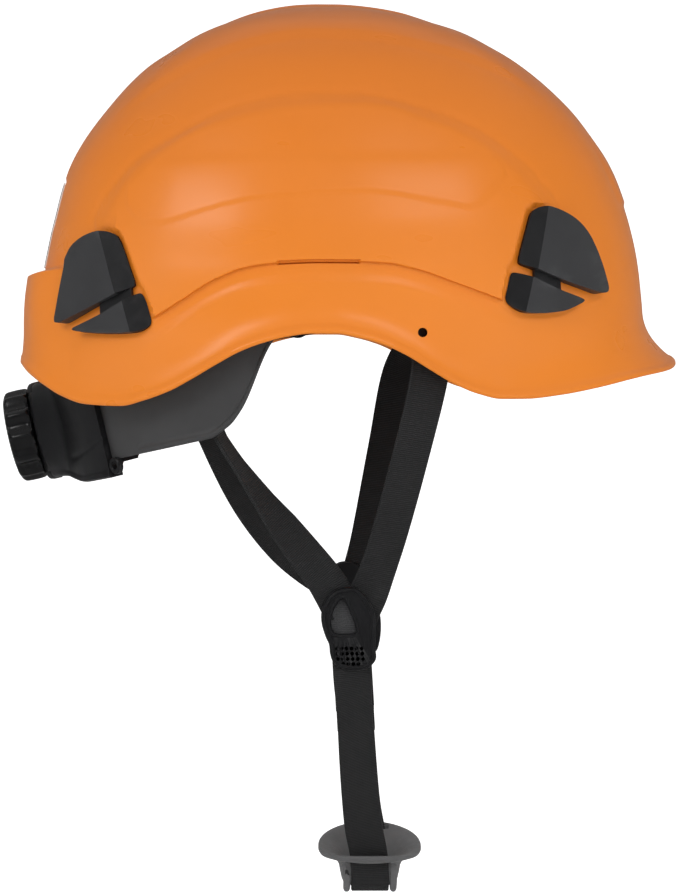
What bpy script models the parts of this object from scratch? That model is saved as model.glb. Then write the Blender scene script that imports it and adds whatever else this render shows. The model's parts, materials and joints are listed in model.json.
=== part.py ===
"""Climbing helmet with a ratchet nape cradle and a four-point chin strap.

Units: the design is written in millimetres and stored in metres (MM).
Frame: +Z up, the wearer faces -Y, the wearer's right is -X.
Origin: centre of the crown pad's underside, where the head's top rests.
Plan angles: 0 = wearer's left (+X), 90 = back (+Y), in degrees unless a name says radians.
"""

import math

import bmesh
import bpy
import numpy as np
from mathutils import Vector

MM = 0.001
SIDES = ((-1, "right"), (1, "left"))          # sign of x, name of the wearer's side
SQUARE = ((-1, -1), (1, -1), (1, 1), (-1, 1))
Y_AXIS = (0, 1, 0)
SHARP_ANGLE = math.radians(35)                # edges steeper than this are shaded sharp

# linear RGB colours
ORANGE = (0.80, 0.26, 0.045)
BLACK = (0.012, 0.012, 0.013)
CHARCOAL = (0.035, 0.035, 0.037)
GREY = (0.06, 0.06, 0.062)
WEBBING = (0.03, 0.03, 0.032)
FOAM = (0.02, 0.02, 0.021)
SILVER = (0.8, 0.82, 0.84)
STEEL = (0.5, 0.5, 0.5)
PINION_GREY = (0.3, 0.3, 0.3)
CUTTER_GREY = (0.5, 0.5, 0.5)

# dimensions shared between sections
SHELL_WALL = 2.6
STUD = (15.0, -95.0)                  # y, z of the side studs the cradle tilts on
STRAP_THICKNESS = 1.3
STRAP_WIDTH = 16.0


# ---------------------------------------------------------------- scene and bodies
def clear_scene():
    for ob in list(bpy.data.objects):
        bpy.data.objects.remove(ob, do_unlink=True)


def make_material(name, color, roughness, metallic):
    material = bpy.data.materials.new(name)
    material.use_nodes = True
    inputs = material.node_tree.nodes["Principled BSDF"].inputs
    inputs["Base Color"].default_value = (*color, 1)
    inputs["Roughness"].default_value = roughness
    inputs["Metallic"].default_value = metallic
    return material


def add_pivot(name, at):
    pivot = bpy.data.objects.new(name, None)
    pivot.location = Vector(at) * MM
    bpy.context.scene.collection.objects.link(pivot)
    return pivot


def add(name, solid, color, roughness=0.5, metallic=0.0, pivot=None):
    """One closed body from (verts in world millimetres, faces).

    Its origin is its pivot, which becomes its parent, or else the world origin.
    """
    verts, faces = solid
    origin = pivot.location if pivot else Vector()
    bm = bmesh.new()
    bm_verts = [bm.verts.new(Vector(v) * MM - origin) for v in verts]
    for face in faces:
        bm.faces.new([bm_verts[i] for i in face])
    bmesh.ops.recalc_face_normals(bm, faces=bm.faces)
    mesh = bpy.data.meshes.new(name)
    bm.to_mesh(mesh)
    bm.free()
    body = bpy.data.objects.new(name, mesh)
    bpy.context.scene.collection.objects.link(body)
    mesh.shade_smooth()
    mesh.set_sharp_from_angle(angle=SHARP_ANGLE)
    mesh.materials.append(make_material("mat_" + name, color, roughness, metallic))
    body.parent = pivot
    return body


def boolean(body, operation, modifier_name, helper_name, solid, color):
    """Combine a body with a hidden helper."""
    helper = add(helper_name, solid, color)
    helper.hide_render = True
    helper.display_type = "WIRE"
    modifier = body.modifiers.new(modifier_name, "BOOLEAN")
    modifier.operation = operation
    modifier.solver = "EXACT"
    modifier.object = helper


def cut(body, name, solid):
    boolean(body, "DIFFERENCE", name, name, solid, CUTTER_GREY)


def fuse(body, modifier_name, helper_name, solid):
    boolean(body, "UNION", modifier_name, helper_name, solid, BLACK)


# ---------------------------------------------------------------- curves and solids
def smooth_step(start, end, x):
    """0 at start, 1 at end, level at both; start may be the larger."""
    t = np.clip((np.asarray(x, float) - start) / (end - start), 0, 1)
    return t * t * (3 - 2 * t)


def monotone_cubic(knots, values):
    """Smooth function through the points that doesn't overshoot between them."""
    knots, values = np.asarray(knots, float), np.asarray(values, float)
    gaps = np.diff(knots)
    slopes = np.diff(values) / gaps
    tangents = np.zeros(len(knots))
    for i in range(1, len(knots) - 1):
        before, after = slopes[i - 1], slopes[i]
        if before * after > 0:
            weight_before = 2 * gaps[i] + gaps[i - 1]
            weight_after = gaps[i] + 2 * gaps[i - 1]
            tangents[i] = ((weight_before + weight_after)
                           / (weight_before / before + weight_after / after))
    tangents[0], tangents[-1] = slopes[0], slopes[-1]

    def curve(x):
        x = np.asarray(x, float)
        i = np.clip(np.searchsorted(knots, x) - 1, 0, len(knots) - 2)
        t = np.clip((x - knots[i]) / gaps[i], 0, 1)
        return ((2 * t**3 - 3 * t**2 + 1) * values[i]
                + (t**3 - 2 * t**2 + t) * gaps[i] * tangents[i]
                + (3 * t**2 - 2 * t**3) * values[i + 1]
                + (t**3 - t**2) * gaps[i] * tangents[i + 1])

    return curve


def curve_through(points, steps):
    """Catmull-Rom path through control points, with so many steps between each two."""
    ctrl = [np.array(point, float) for point in points]
    ctrl = [2 * ctrl[0] - ctrl[1]] + ctrl + [2 * ctrl[-1] - ctrl[-2]]
    path = []
    for i in range(1, len(ctrl) - 2):
        before, start, end, after = ctrl[i - 1:i + 3]
        for k in range(steps):
            t = k / steps
            path.append(tuple(0.5 * (2 * start + (end - before) * t
                                     + (2 * before - 5 * start + 4 * end - after) * t**2
                                     + (3 * start - before - 3 * end + after) * t**3)))
    path.append(tuple(ctrl[-2]))
    return path


def circle(centre, radius, count):
    """Points of a circle in the two axes its centre is given in."""
    angles = [2 * math.pi * i / count for i in range(count)]
    return [(centre[0] + radius * math.cos(angle), centre[1] + radius * math.sin(angle))
            for angle in angles]


def skin(rings, closed):
    """Verts and side faces through equal rings; closed joins the last ring to the first."""
    count = len(rings[0])
    verts = [tuple(point) for ring in rings for point in ring]
    faces = []
    for k in range(len(rings) if closed else len(rings) - 1):
        here, there = k * count, (k + 1) % len(rings) * count
        for i in range(count):
            j = (i + 1) % count
            faces.append((here + i, here + j, there + j, there + i))
    return verts, faces


def loft(rings):
    """Solid through a list of equal rings of points, capped at both ends."""
    verts, faces = skin(rings, closed=False)
    count = len(rings[0])
    faces.append(tuple(range(count))[::-1])
    faces.append(tuple(range(len(verts) - count, len(verts))))
    return verts, faces


def loop_loft(rings):
    """Ring-shaped solid: the last ring joins the first."""
    return skin(rings, closed=True)


def prism(points, axis, start, end):
    """Polygon extruded along a world axis (0, 1 or 2). points are in the other two axes."""
    def ring(along):
        return [(*point[:axis], along, *point[axis:]) for point in points]
    return loft([ring(start), ring(end)])


def block(x_range, y_range, z_range):
    (x0, x1), (y0, y1) = sorted(x_range), sorted(y_range)
    return loft([[(x0, y0, z), (x1, y0, z), (x1, y1, z), (x0, y1, z)] for z in z_range])


def ribbon(path, width, across):
    """Flat strap along path. across lists the width direction at each point."""
    points = [Vector(p) for p in path]
    rings = []
    for i, centre in enumerate(points):
        along = (points[min(i + 1, len(points) - 1)] - points[max(i - 1, 0)]).normalized()
        wide = Vector(across[i])
        wide = (wide - along * wide.dot(along)).normalized()
        lift = along.cross(wide).normalized() * STRAP_THICKNESS / 2
        wide = wide * width / 2
        rings.append([centre + wide + lift, centre - wide + lift,
                      centre - wide - lift, centre + wide - lift])
    return loft(rings)


# ---------------------------------------------------------------- shell surface
# dome outlines: (distance from the centre, height)
FRONT_PROFILE = [
    (0, 41.6), (18, 40.1), (33.5, 37.0), (49, 32.0), (64, 25.0), (79.5, 16.0), (95, 3.5),
    (105.5, -7.5), (115.5, -22.0), (120.5, -32.5), (125, -45.0), (129.3, -61.0),
    (131.8, -77.0), (133, -90.0), (133.6, -105.0), (133.6, -150.0)]
REAR_PROFILE = [
    (0, 41.6), (18, 40.8), (33.5, 37.4), (49, 32.2), (64, 24.7), (74.5, 18.0), (85, 8.5),
    (95, -3.0), (105.5, -17.5), (110.5, -27.5), (113, -35.5), (117, -52.0), (120, -66.0),
    (122, -77.0), (124.6, -98.0), (126.3, -111.0), (127, -150.0)]
SIDE_PROFILE = [
    (0, 41.6), (26, 39.0), (50, 30.5), (69, 15.0), (82, -7.0), (90.5, -32.0), (96, -56.0),
    (98.5, -76.0), (99.5, -92.0), (100.5, -110.0), (101, -150.0)]
# wavy rim: (plan angle from the front, -90, to the back, 90 ; height)
RIM_WAVE = [
    (-90, -110.5), (-80, -113.5), (-70, -117.1), (-62, -120.3), (-54.7, -123.8),
    (-47.4, -126.8), (-40.5, -128.5), (-35.9, -128.6), (-31.3, -126.6), (-26.6, -122.7),
    (-21.8, -117.2), (-16.8, -111.3), (-11.8, -107.0), (-6.7, -104.3), (-1.5, -102.7),
    (3.7, -102.7), (8.9, -103.9), (14.0, -106.2), (19.1, -109.7), (24.1, -114.8),
    (29.0, -120.3), (34.0, -125.4), (39.1, -128.9), (44.3, -131.2), (52.7, -130.3),
    (59.4, -126.8), (65.8, -121.7), (72.0, -116.9), (80, -112.5), (90, -110.5)]
CENTRE_Z = -90.0                      # centre the dome's radii are drawn from
RIM_HALF_WIDTH = 104.0                # rim outline in plan
RIM_FRONT = 148.0                     # brim tip
RIM_REAR = 131.0
RIM_POWER = 2.3                       # superellipse exponent of the rim in plan
DOME_POWER, DOME_POWER_GAIN = 2, 0.35  # dome exponent at the apex, and its gain lower down
FLARE_HEIGHT, FLARE_FRONT_GAIN = 14, 9  # height of the rim's flare, extra at the front
FLARE_POWER = 2.2
LEDGE_DEPTH = 6.4                     # step across the back of the shell
LEDGE_STEP = (-71.5, -76.5)           # heights the step runs between
LEDGE_SKIRT = (-80, -111)             # heights the skirt below it spreads to the rim between
RIB_HEIGHT = 1.2                      # raised rib along the crown's centre line
RIB_EDGE = (9, 15)                    # fades out between these distances from the centre line
RIB_END = (52, 30)                    # grows in between these distances from the apex


def polar(profile):
    """Distance from the dome's centre as a function of elevation in degrees."""
    distance, height = np.array(profile, float)[::-1].T
    height = height - CENTRE_Z
    elevation = np.degrees(np.arctan2(height, distance))
    radius = np.hypot(distance, height)
    # repeat past the apex so the slope is flat there
    elevation = np.append(elevation, 180 - elevation[-2])
    radius = np.append(radius, radius[-2])
    return monotone_cubic(elevation, radius)


front_radius, rear_radius, side_radius = map(polar, (FRONT_PROFILE, REAR_PROFILE, SIDE_PROFILE))
rim_wave = monotone_cubic(*zip(*RIM_WAVE))


def dome_radius(plan, elevation):
    """Distance from the dome's centre to the plain dome. Angles in radians."""
    cos_plan, sin_plan = np.cos(plan), np.sin(plan)
    degrees = np.degrees(elevation)
    power = DOME_POWER + DOME_POWER_GAIN * np.cos(elevation) ** 2
    end = np.where(sin_plan < 0, front_radius(degrees), rear_radius(degrees))
    return (np.abs(cos_plan / side_radius(degrees)) ** power
            + np.abs(sin_plan / end) ** power) ** (-1 / power)


def rim_height(plan):
    """The rim is the same on both sides: fold the plan angle to -90..90."""
    return rim_wave(np.degrees(np.arctan2(np.sin(plan), np.abs(np.cos(plan)))))


def rim_radius(plan):
    cos_plan, sin_plan = np.abs(np.cos(plan)), np.sin(plan)
    end = np.where(sin_plan < 0, RIM_FRONT, RIM_REAR)
    return ((cos_plan / RIM_HALF_WIDTH) ** RIM_POWER
            + (np.abs(sin_plan) / end) ** RIM_POWER) ** (-1 / RIM_POWER)


def rim_elevation(plan):
    """Elevation in radians where the plain dome meets the rim's height, by bisection."""
    height = rim_height(plan)
    low, high = np.full_like(height, -0.6), np.full_like(height, 0.4)
    for _ in range(40):
        middle = (low + high) / 2
        above = dome_radius(plan, middle) * np.sin(middle) + CENTRE_Z > height
        high = np.where(above, middle, high)
        low = np.where(above, low, middle)
    return (low + high) / 2


def shell_point(plan, descent, inset=0.0):
    """Outer surface point: descent is 0 at the apex, 1 at the rim; plan is in radians.

    inset moves the point in along the radius.
    """
    plan, descent = np.broadcast_arrays(np.asarray(plan, float), np.asarray(descent, float))
    rim_elev = rim_elevation(plan)
    elevation = np.pi / 2 - (np.pi / 2 - rim_elev) * descent
    radius = dome_radius(plan, elevation)
    z = CENTRE_Z + radius * np.sin(elevation)
    reach = radius * np.cos(elevation)
    flare = rim_radius(plan) - dome_radius(plan, rim_elev) * np.cos(rim_elev)
    sin_plan = np.sin(plan)
    back = smooth_step(0.85, 0.96, sin_plan)
    flare_height = FLARE_HEIGHT + FLARE_FRONT_GAIN * smooth_step(0.3, 0.9, -sin_plan)
    lip = flare * np.clip(1 - (z - rim_height(plan)) / flare_height, 0, 1) ** FLARE_POWER
    ledge = (LEDGE_DEPTH * smooth_step(*LEDGE_STEP, z)
             + (flare - LEDGE_DEPTH) * smooth_step(*LEDGE_SKIRT, z))
    rib = (RIB_HEIGHT * (1 - smooth_step(*RIB_EDGE, np.abs(reach * np.cos(plan))))
           * smooth_step(*RIB_END, reach))
    scale = 1 - inset / np.maximum(radius, 1)
    reach = (reach + lip * (1 - back) + ledge * back) * scale
    return np.stack([reach * np.cos(plan), reach * np.sin(plan),
                     CENTRE_Z + (z + rib - CENTRE_Z) * scale], -1)


# table of the outer surface, by plan angle and by elevation seen from the dome's centre
TABLE_PLAN = np.linspace(-math.pi, math.pi, 241)
TABLE_DESCENT = np.linspace(0, 1, 161)
TABLE_POINTS = np.array([shell_point(plan, TABLE_DESCENT) for plan in TABLE_PLAN])
TABLE_LOWEST = -0.5
TABLE_ELEVATION = np.linspace(TABLE_LOWEST, math.pi / 2, 260)


def tabulate_radius():
    rows = []
    for points in TABLE_POINTS:
        x, y, z = points.T
        elevation = np.arctan2(z - CENTRE_Z, np.hypot(x, y))
        radius = np.sqrt(x ** 2 + y ** 2 + (z - CENTRE_Z) ** 2)
        rows.append(np.interp(TABLE_ELEVATION, elevation[::-1], radius[::-1]))
    return np.array(rows)


TABLE_RADIUS = tabulate_radius()


def shell_radius(plan, elevation):
    """Distance from the dome's centre to the outer surface, read from the table."""
    column = (plan + math.pi) / (2 * math.pi) * (len(TABLE_PLAN) - 1)
    row = ((elevation - TABLE_LOWEST) / (math.pi / 2 - TABLE_LOWEST)
           * (len(TABLE_ELEVATION) - 1))
    i = min(max(int(column), 0), len(TABLE_PLAN) - 2)
    k = min(max(int(row), 0), len(TABLE_ELEVATION) - 2)
    across, up = column - i, min(max(row - k, 0), 1)
    lower = TABLE_RADIUS[i, k] * (1 - across) + TABLE_RADIUS[i + 1, k] * across
    upper = TABLE_RADIUS[i, k + 1] * (1 - across) + TABLE_RADIUS[i + 1, k + 1] * across
    return float(lower * (1 - up) + upper * up)


def on_shell(plan, elevation):
    radius = shell_radius(plan, elevation)
    return np.array([radius * math.cos(elevation) * math.cos(plan),
                     radius * math.cos(elevation) * math.sin(plan),
                     CENTRE_Z + radius * math.sin(elevation)])


def surface_frame(degrees, height, side=1):
    """Point and outward normal of the shell at a plan angle and height; side -1 mirrors both."""
    plan = math.radians(degrees)
    low, high = -0.45, math.pi / 2
    for _ in range(30):
        middle = (low + high) / 2
        if on_shell(plan, middle)[2] > height:
            high = middle
        else:
            low = middle
    elev = (low + high) / 2
    step = 0.02
    point = on_shell(plan, elev)
    normal = np.cross(on_shell(plan + step, elev) - on_shell(plan - step, elev),
                      on_shell(plan, elev + step) - on_shell(plan, elev - step))
    normal /= np.linalg.norm(normal)
    if np.dot(normal, point - np.array([0, 0, CENTRE_Z])) < 0:
        normal = -normal
    mirror = np.array([side, 1, 1])
    return Vector(point * mirror), Vector(normal * mirror)


# ---------------------------------------------------------------- shell, foam, tape
LACE_HOLE_AT = (-37.2, -102.3)        # y, z
LACE_HOLE_RADIUS = 2.0
LINER_GAP = 0.9                       # shell to foam
LINER_WALL = 15.0
LINER_EDGE, LINER_EDGE_DROP = -32.0, 5.0  # foam edge height at the sides, drop front and back
TAPE_PLAN = (78.5, 101.5)             # plan angles
TAPE_Z = (-34.0, -62.0)
TAPE_LIFT = (1.1, 0.7)                # outer and inner face above the shell
TAPE_STEPS = (10, 6)                  # around, down


def dome_solid(columns, rows, outer_inset, inner_inset, edge=np.ones_like):
    """Closed dome between two insets of the shell; edge gives the descent where it stops."""
    plans = np.linspace(0, 2 * math.pi, columns, endpoint=False)
    stop = edge(plans)
    verts, faces = [], []
    for inset in (outer_inset, inner_inset):
        verts.append(tuple(shell_point(0.0, 0.0, inset)))
        for descent in np.linspace(0, 1, rows + 1)[1:]:
            verts.extend(tuple(p) for p in shell_point(plans, descent * stop, inset))
    layer = 1 + columns * rows
    for apex in (0, layer):
        for i in range(columns):
            j = (i + 1) % columns
            faces.append((apex, apex + 1 + i, apex + 1 + j))
            for k in range(rows - 1):
                upper = apex + 1 + k * columns
                lower = upper + columns
                faces.append((upper + i, lower + i, lower + j, upper + j))
    last = 1 + (rows - 1) * columns
    for i in range(columns):
        j = (i + 1) % columns
        faces.append((last + i, layer + last + i, layer + last + j, last + j))
    return verts, faces


def build_shell():
    shell = add("shell", dome_solid(56, 14, 0.0, SHELL_WALL), ORANGE, roughness=0.32)
    for side, tag in SIDES:
        cut(shell, "cutter_hole_" + tag,
            prism(circle(LACE_HOLE_AT, LACE_HOLE_RADIUS, 12), 0, side * 80, side * 125))


def liner_edge(plans):
    """Descent at which the foam stops, above the suspension's fixing points."""
    stops = []
    for plan in plans:
        turn = (math.atan2(math.sin(plan), math.cos(plan)) + math.pi) / (2 * math.pi)
        column = TABLE_POINTS[int(round(turn * (len(TABLE_PLAN) - 1)))]
        height = LINER_EDGE - LINER_EDGE_DROP * abs(math.sin(plan))
        stops.append(float(np.interp(-height, -column[:, 2], TABLE_DESCENT)))
    return np.array(stops)


def build_foam_liner():
    outer = SHELL_WALL + LINER_GAP
    add("foam_liner", dome_solid(36, 7, outer, outer + LINER_WALL, liner_edge),
        FOAM, roughness=0.9)


def build_reflective_tape():
    """Retroreflective tape on the back of the shell."""
    columns, rows = TAPE_STEPS
    stride = rows + 1
    frames = [surface_frame(TAPE_PLAN[0] + (TAPE_PLAN[1] - TAPE_PLAN[0]) * i / columns,
                            TAPE_Z[0] + (TAPE_Z[1] - TAPE_Z[0]) * k / rows)
              for i in range(columns + 1) for k in range(stride)]
    verts = [point + normal * lift for lift in TAPE_LIFT for point, normal in frames]
    inner = len(frames)
    faces = []
    for i in range(columns):
        for k in range(rows):
            a = i * stride + k
            b = a + stride
            faces.append((a, b, b + 1, a + 1))
            faces.append((inner + a, inner + a + 1, inner + b + 1, inner + b))
    for i in range(columns):
        for k in (0, rows):
            a = i * stride + k
            b = a + stride
            faces.append((a, b, inner + b, inner + a))
    for k in range(rows):
        for i in (0, columns):
            a = i * stride + k
            faces.append((a, a + 1, inner + a + 1, inner + a))
    add("reflective_tape", (verts, faces), SILVER, roughness=0.3, metallic=0.3)


# ---------------------------------------------------------------- lamp clips
# outlines on the shell, (plan angle, height): an upper wedge, a web, a lower wedge
CLIP_OUTLINES = {
    "front": [
        (-45.1, -53.4), (-47.9, -51.6), (-50.7, -52.9), (-55.2, -58.1), (-57.9, -68.7),
        (-59.3, -80.9), (-59.2, -85.4), (-57.5, -85.5), (-49.4, -80.8), (-49.2, -85.2),
        (-53.6, -88.4), (-49.9, -93.1), (-46.5, -94.1), (-41.6, -94.2), (-38.1, -89.6),
        (-38.6, -84.0), (-39.8, -78.3), (-43.6, -80.4), (-43.8, -76.8), (-41.3, -74.9),
        (-42.0, -68.3), (-43.5, -60.6)],
    "rear": [
        (61.2, -97.0), (60.9, -87.0), (60.2, -74.7), (59.0, -67.4), (56.4, -63.3),
        (52.3, -61.0), (49.4, -61.4), (47.4, -64.6), (45.5, -71.2), (42.6, -83.4),
        (46.6, -86.8), (46.2, -90.8), (42.0, -86.4), (40.4, -88.8), (38.8, -98.2),
        (40.4, -101.7), (44.9, -102.3), (55.6, -101.1), (55.6, -99.6), (50.4, -95.2),
        (50.6, -90.2), (59.0, -96.9)],
}
# ends of each clip's hinge line along its top edge, (plan angle, height)
CLIP_HINGES = {"front": ((-43.5, -49.0), (-55.0, -56.0)), "rear": ((56.0, -60.5), (46.5, -55.5))}
CLIP_HINGE_LIFT = 0.6
CLIP_LIFTS = (1.4, 4.4)               # inner and outer face above the shell
CLIP_GRID = (4.0, 7.0)                # grid that bends the slab: degrees, mm of height
CLIP_GRID_MARGIN = 0.3                # grid lines this close to an outline point are skipped


def curved_slab(outline, side):
    """Slab that follows the shell: the flat outline is divided by a grid, then lifted twice."""
    bm = bmesh.new()
    bm.faces.new([bm.verts.new((angle, z, 0)) for angle, z in outline])
    for axis, step in enumerate(CLIP_GRID):
        values = [point[axis] for point in outline]
        line = math.ceil(min(values) / step) * step
        while line < max(values):
            if min(abs(line - value) for value in values) > CLIP_GRID_MARGIN:
                plane_at, plane_normal = [0, 0, 0], [0, 0, 0]
                plane_at[axis], plane_normal[axis] = line, 1
                bmesh.ops.bisect_plane(bm, geom=bm.verts[:] + bm.edges[:] + bm.faces[:],
                                       dist=1e-4, plane_co=plane_at, plane_no=plane_normal)
            line += step
    bm.verts.index_update()
    frames = [surface_frame(v.co.x, v.co.y, side) for v in bm.verts]
    polygons = [[v.index for v in face.verts] for face in bm.faces]
    border = [(e.verts[0].index, e.verts[1].index) for e in bm.edges if len(e.link_faces) == 1]
    bm.free()
    verts = [point + normal * lift for lift in CLIP_LIFTS for point, normal in frames]
    top = len(frames)
    faces = [tuple(polygon) for polygon in polygons]
    faces += [tuple(top + i for i in reversed(polygon)) for polygon in polygons]
    faces += [(i, j, top + j, top + i) for i, j in border]
    return verts, faces


def build_lamp_clips():
    for which, outline in CLIP_OUTLINES.items():
        for side, tag in SIDES:
            ends = []
            for degrees, height in CLIP_HINGES[which]:
                point, normal = surface_frame(degrees, height, side)
                ends.append(point + normal * CLIP_HINGE_LIFT)
            pivot = add_pivot(f"pivot_lamp_clip_{which}_{tag}", (ends[0] + ends[1]) / 2)
            add(f"lamp_clip_{which}_{tag}", curved_slab(outline, side), CHARCOAL,
                roughness=0.4, pivot=pivot)


# ---------------------------------------------------------------- front headband
# an ellipse in plan around the forehead
HEADBAND_HALF_WIDTH = 90.5
HEADBAND_HALF_LENGTH = 125.0
HEADBAND_CENTRE_Y = 18.0
HEADBAND_CENTRE_Z = -90.0
HEADBAND_SLOPE = 0.176                # rise per mm towards the front
HEADBAND_HEIGHT = 26.0
HEADBAND_THICKNESS = 1.6
HEADBAND_END = 94                     # degrees from the front
STUD_HOLE_RADIUS = 3.15
SWEATBAND_OFFSETS = (-4.4, -1.3)      # inner and outer face from the headband's centre line
SWEATBAND_HALF_HEIGHT = 14.5
SWEATBAND_END = 54
BAND_END_TAPER = 2.5                  # half-height lost towards the ends of both bands


def headband_point(degrees, offset, up):
    """degrees run from the front (0) towards the wearer's left; offset is outward."""
    sine, cosine = math.sin(math.radians(degrees)), math.cos(math.radians(degrees))
    normal_x, normal_y = sine / HEADBAND_HALF_WIDTH, -cosine / HEADBAND_HALF_LENGTH
    length = math.hypot(normal_x, normal_y)
    x = HEADBAND_HALF_WIDTH * sine + normal_x / length * offset
    y = HEADBAND_CENTRE_Y - HEADBAND_HALF_LENGTH * cosine + normal_y / length * offset
    return (x, y, HEADBAND_CENTRE_Z + (HEADBAND_CENTRE_Y - y) * HEADBAND_SLOPE + up)


def headband_strip(end, steps, inner, outer, half_height, taper_from):
    rings = []
    for i in range(steps + 1):
        degrees = -end + 2 * end * i / steps
        half = half_height - BAND_END_TAPER * float(smooth_step(taper_from, end, abs(degrees)))
        rings.append([headband_point(degrees, inner, -half), headband_point(degrees, outer, -half),
                      headband_point(degrees, outer, half), headband_point(degrees, inner, half)])
    return loft(rings)


def build_headband():
    half = HEADBAND_THICKNESS / 2
    band = add("headband_front",
               headband_strip(HEADBAND_END, 44, -half, half, HEADBAND_HEIGHT / 2, taper_from=60),
               BLACK, roughness=0.45)
    for side, tag in SIDES:
        cut(band, "cutter_stud_hole_" + tag,
            prism(circle(STUD, STUD_HOLE_RADIUS, 16), 0, side * 84, side * 97))


def build_sweatband():
    add("sweatband",
        headband_strip(SWEATBAND_END, 30, *SWEATBAND_OFFSETS, SWEATBAND_HALF_HEIGHT,
                       taper_from=35),
        BLACK, roughness=0.9)


# ---------------------------------------------------------------- crown suspension
CROWN_PAD_HALF_WIDTH, CROWN_PAD_HALF_LENGTH = 29, 31
CROWN_PAD_STATIONS = ((0.0, 0.93), (1.2, 1.0), (4.8, 1.0), (5.9, 0.93))  # z, scale
CROWN_STRAP_WIDTH = 18.0
# crossing straps: name, x sign of its front half, height of its middle
CROWN_STRAPS = (("crown_strap_a", 1, 12.0), ("crown_strap_b", -1, 9.3))
# half of a crown strap: (distance from the middle, height from the middle)
CROWN_STRAP_HALF = [(0, 0), (24, -0.3), (40, -4.2), (59, -18), (73, -38), (80, -54),
                    (82.5, -64.0)]
KEY_Z = -54.0                         # height the shell's reach is taken at
KEY_INNER = 84.6                      # inner face, distance from the centre line
KEY_SHELL_GAP = 5.0                   # shell's inner wall to the outer face
KEY_FLANGE = 2.5
# (distance along x, radius)
SIDE_STUD_PROFILE = [(95.6, 6.0), (93.2, 6.0), (93.2, 2.7), (82.9, 2.7), (82.9, 4.8),
                     (81.8, 4.8), (81.1, 3.6)]


def build_crown_pad():
    rings = [[(CROWN_PAD_HALF_WIDTH * scale * x, CROWN_PAD_HALF_LENGTH * scale * y, z)
              for x, y in circle((0, 0), 1, 28)] for z, scale in CROWN_PAD_STATIONS]
    add("crown_pad", loft(rings), BLACK, roughness=0.85)


def build_crown_straps():
    half = curve_through(CROWN_STRAP_HALF, 3)
    line = [(-reach, z) for reach, z in reversed(half)] + half[1:]
    diagonal = math.cos(math.radians(45))
    for name, sign, middle_z in CROWN_STRAPS:
        x, y = sign * diagonal, -diagonal
        path = [(x * reach, y * reach, middle_z + z) for reach, z in line]
        add(name, ribbon(path, CROWN_STRAP_WIDTH, [(-y, x, 0)] * len(path)),
            WEBBING, roughness=0.8)


def build_suspension_keys():
    """Keys that hang the crown straps from the shell."""
    for which, degrees in (("front", -45.0), ("rear", 45.0)):
        for side, tag in SIDES:
            plan = math.radians(degrees)
            out = Vector((side * math.cos(plan), math.sin(plan), 0))
            tangent = Vector((-out.y, out.x, 0))
            point, _ = surface_frame(degrees, KEY_Z)
            outer = math.hypot(point.x, point.y) - SHELL_WALL - KEY_SHELL_GAP
            # distance from the centre line, half width, bottom, top
            stations = ((KEY_INNER, 9, -57.5, -49.5),
                        (KEY_INNER + KEY_FLANGE, 9, -57.5, -49.5),
                        (KEY_INNER + KEY_FLANGE, 5, -55.5, -50.5),
                        (outer - KEY_FLANGE, 5, -55.5, -50.5),
                        (outer - KEY_FLANGE, 8, -58, -50.0),
                        (outer, 8, -58, -51.5))
            rings = [[out * reach + tangent * (sign * half) + Vector((0, 0, z))
                      for sign, z in ((1, bottom), (-1, bottom), (-1, top), (1, top))]
                     for reach, half, bottom, top in stations]
            add(f"suspension_key_{which}_{tag}", loft(rings), BLACK, roughness=0.45)


def build_side_studs():
    for side, tag in SIDES:
        rings = [[(side * x, y, z) for y, z in circle(STUD, radius, 20)]
                 for x, radius in SIDE_STUD_PROFILE]
        add("side_stud_" + tag, loft(rings), BLACK, roughness=0.4)


# ---------------------------------------------------------------- side straps
# anchors on the shell's inner wall, and the left strap's way down from each:
#   anchor: plan angle, height        gap: shell wall to anchor plate
#   lean, drop: second point of the strap, inward and down from the first's level
STRAP_ROUTES = {
    "front": dict(anchor=(-23.7, -93.0), gap=1.2, lean=0.3, drop=6,
                  points=[(89.5, -39.5, -117), (84.0, -32.0, -149), (74.0, -23.0, -183),
                          (69.3, -17.6, -202.6)]),
    "rear": dict(anchor=(40.5, -86.0), gap=2.2, lean=1.0, drop=4,
                 points=[(75.0, 63.5, -105), (73.5, 48.5, -141), (72.0, 26.0, -171),
                         (69.3, 6.6, -197.0)]),
}
ANCHOR_THICKNESS = 2.4
ANCHOR_HALF_WIDTH, ANCHOR_HALF_HEIGHT = 10, 7
ANCHOR_STRAP_GAP = 0.7
STRAP_START_RISE = 6                  # strap end above the anchor's centre


def build_side_strap(which, side, tag):
    """An anchor plate and the strap that runs from it down to the side slider."""
    route = STRAP_ROUTES[which]
    point, normal = surface_frame(*route["anchor"], side)
    level = Vector((-normal.y, normal.x, 0)).normalized()
    up = normal.cross(level)

    face = point - normal * (SHELL_WALL + route["gap"])
    rings = [[face - normal * depth + level * (i * ANCHOR_HALF_WIDTH)
              + up * (k * ANCHOR_HALF_HEIGHT) for i, k in SQUARE]
             for depth in (0.0, ANCHOR_THICKNESS)]
    add(f"strap_anchor_{which}_{tag}", loft(rings), BLACK, roughness=0.45)

    top = face - normal * (ANCHOR_THICKNESS + ANCHOR_STRAP_GAP + STRAP_THICKNESS / 2)
    path = curve_through([top + up * STRAP_START_RISE,
                          top - normal * route["lean"] - up * route["drop"],
                          *((side * x, y, z) for x, y, z in route["points"])], 5)
    # the width lies along the shell at the top and turns front to back lower down
    level = level if level.y > 0 else -level
    across = [level.lerp(Vector(Y_AXIS), float(smooth_step(7, 16, i)))
              for i in range(len(path))]
    add(f"strap_{which}_{tag}", ribbon(path, STRAP_WIDTH, across), WEBBING, roughness=0.75)


def build_side_straps():
    for which in STRAP_ROUTES:
        for side, tag in SIDES:
            build_side_strap(which, side, tag)


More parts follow.
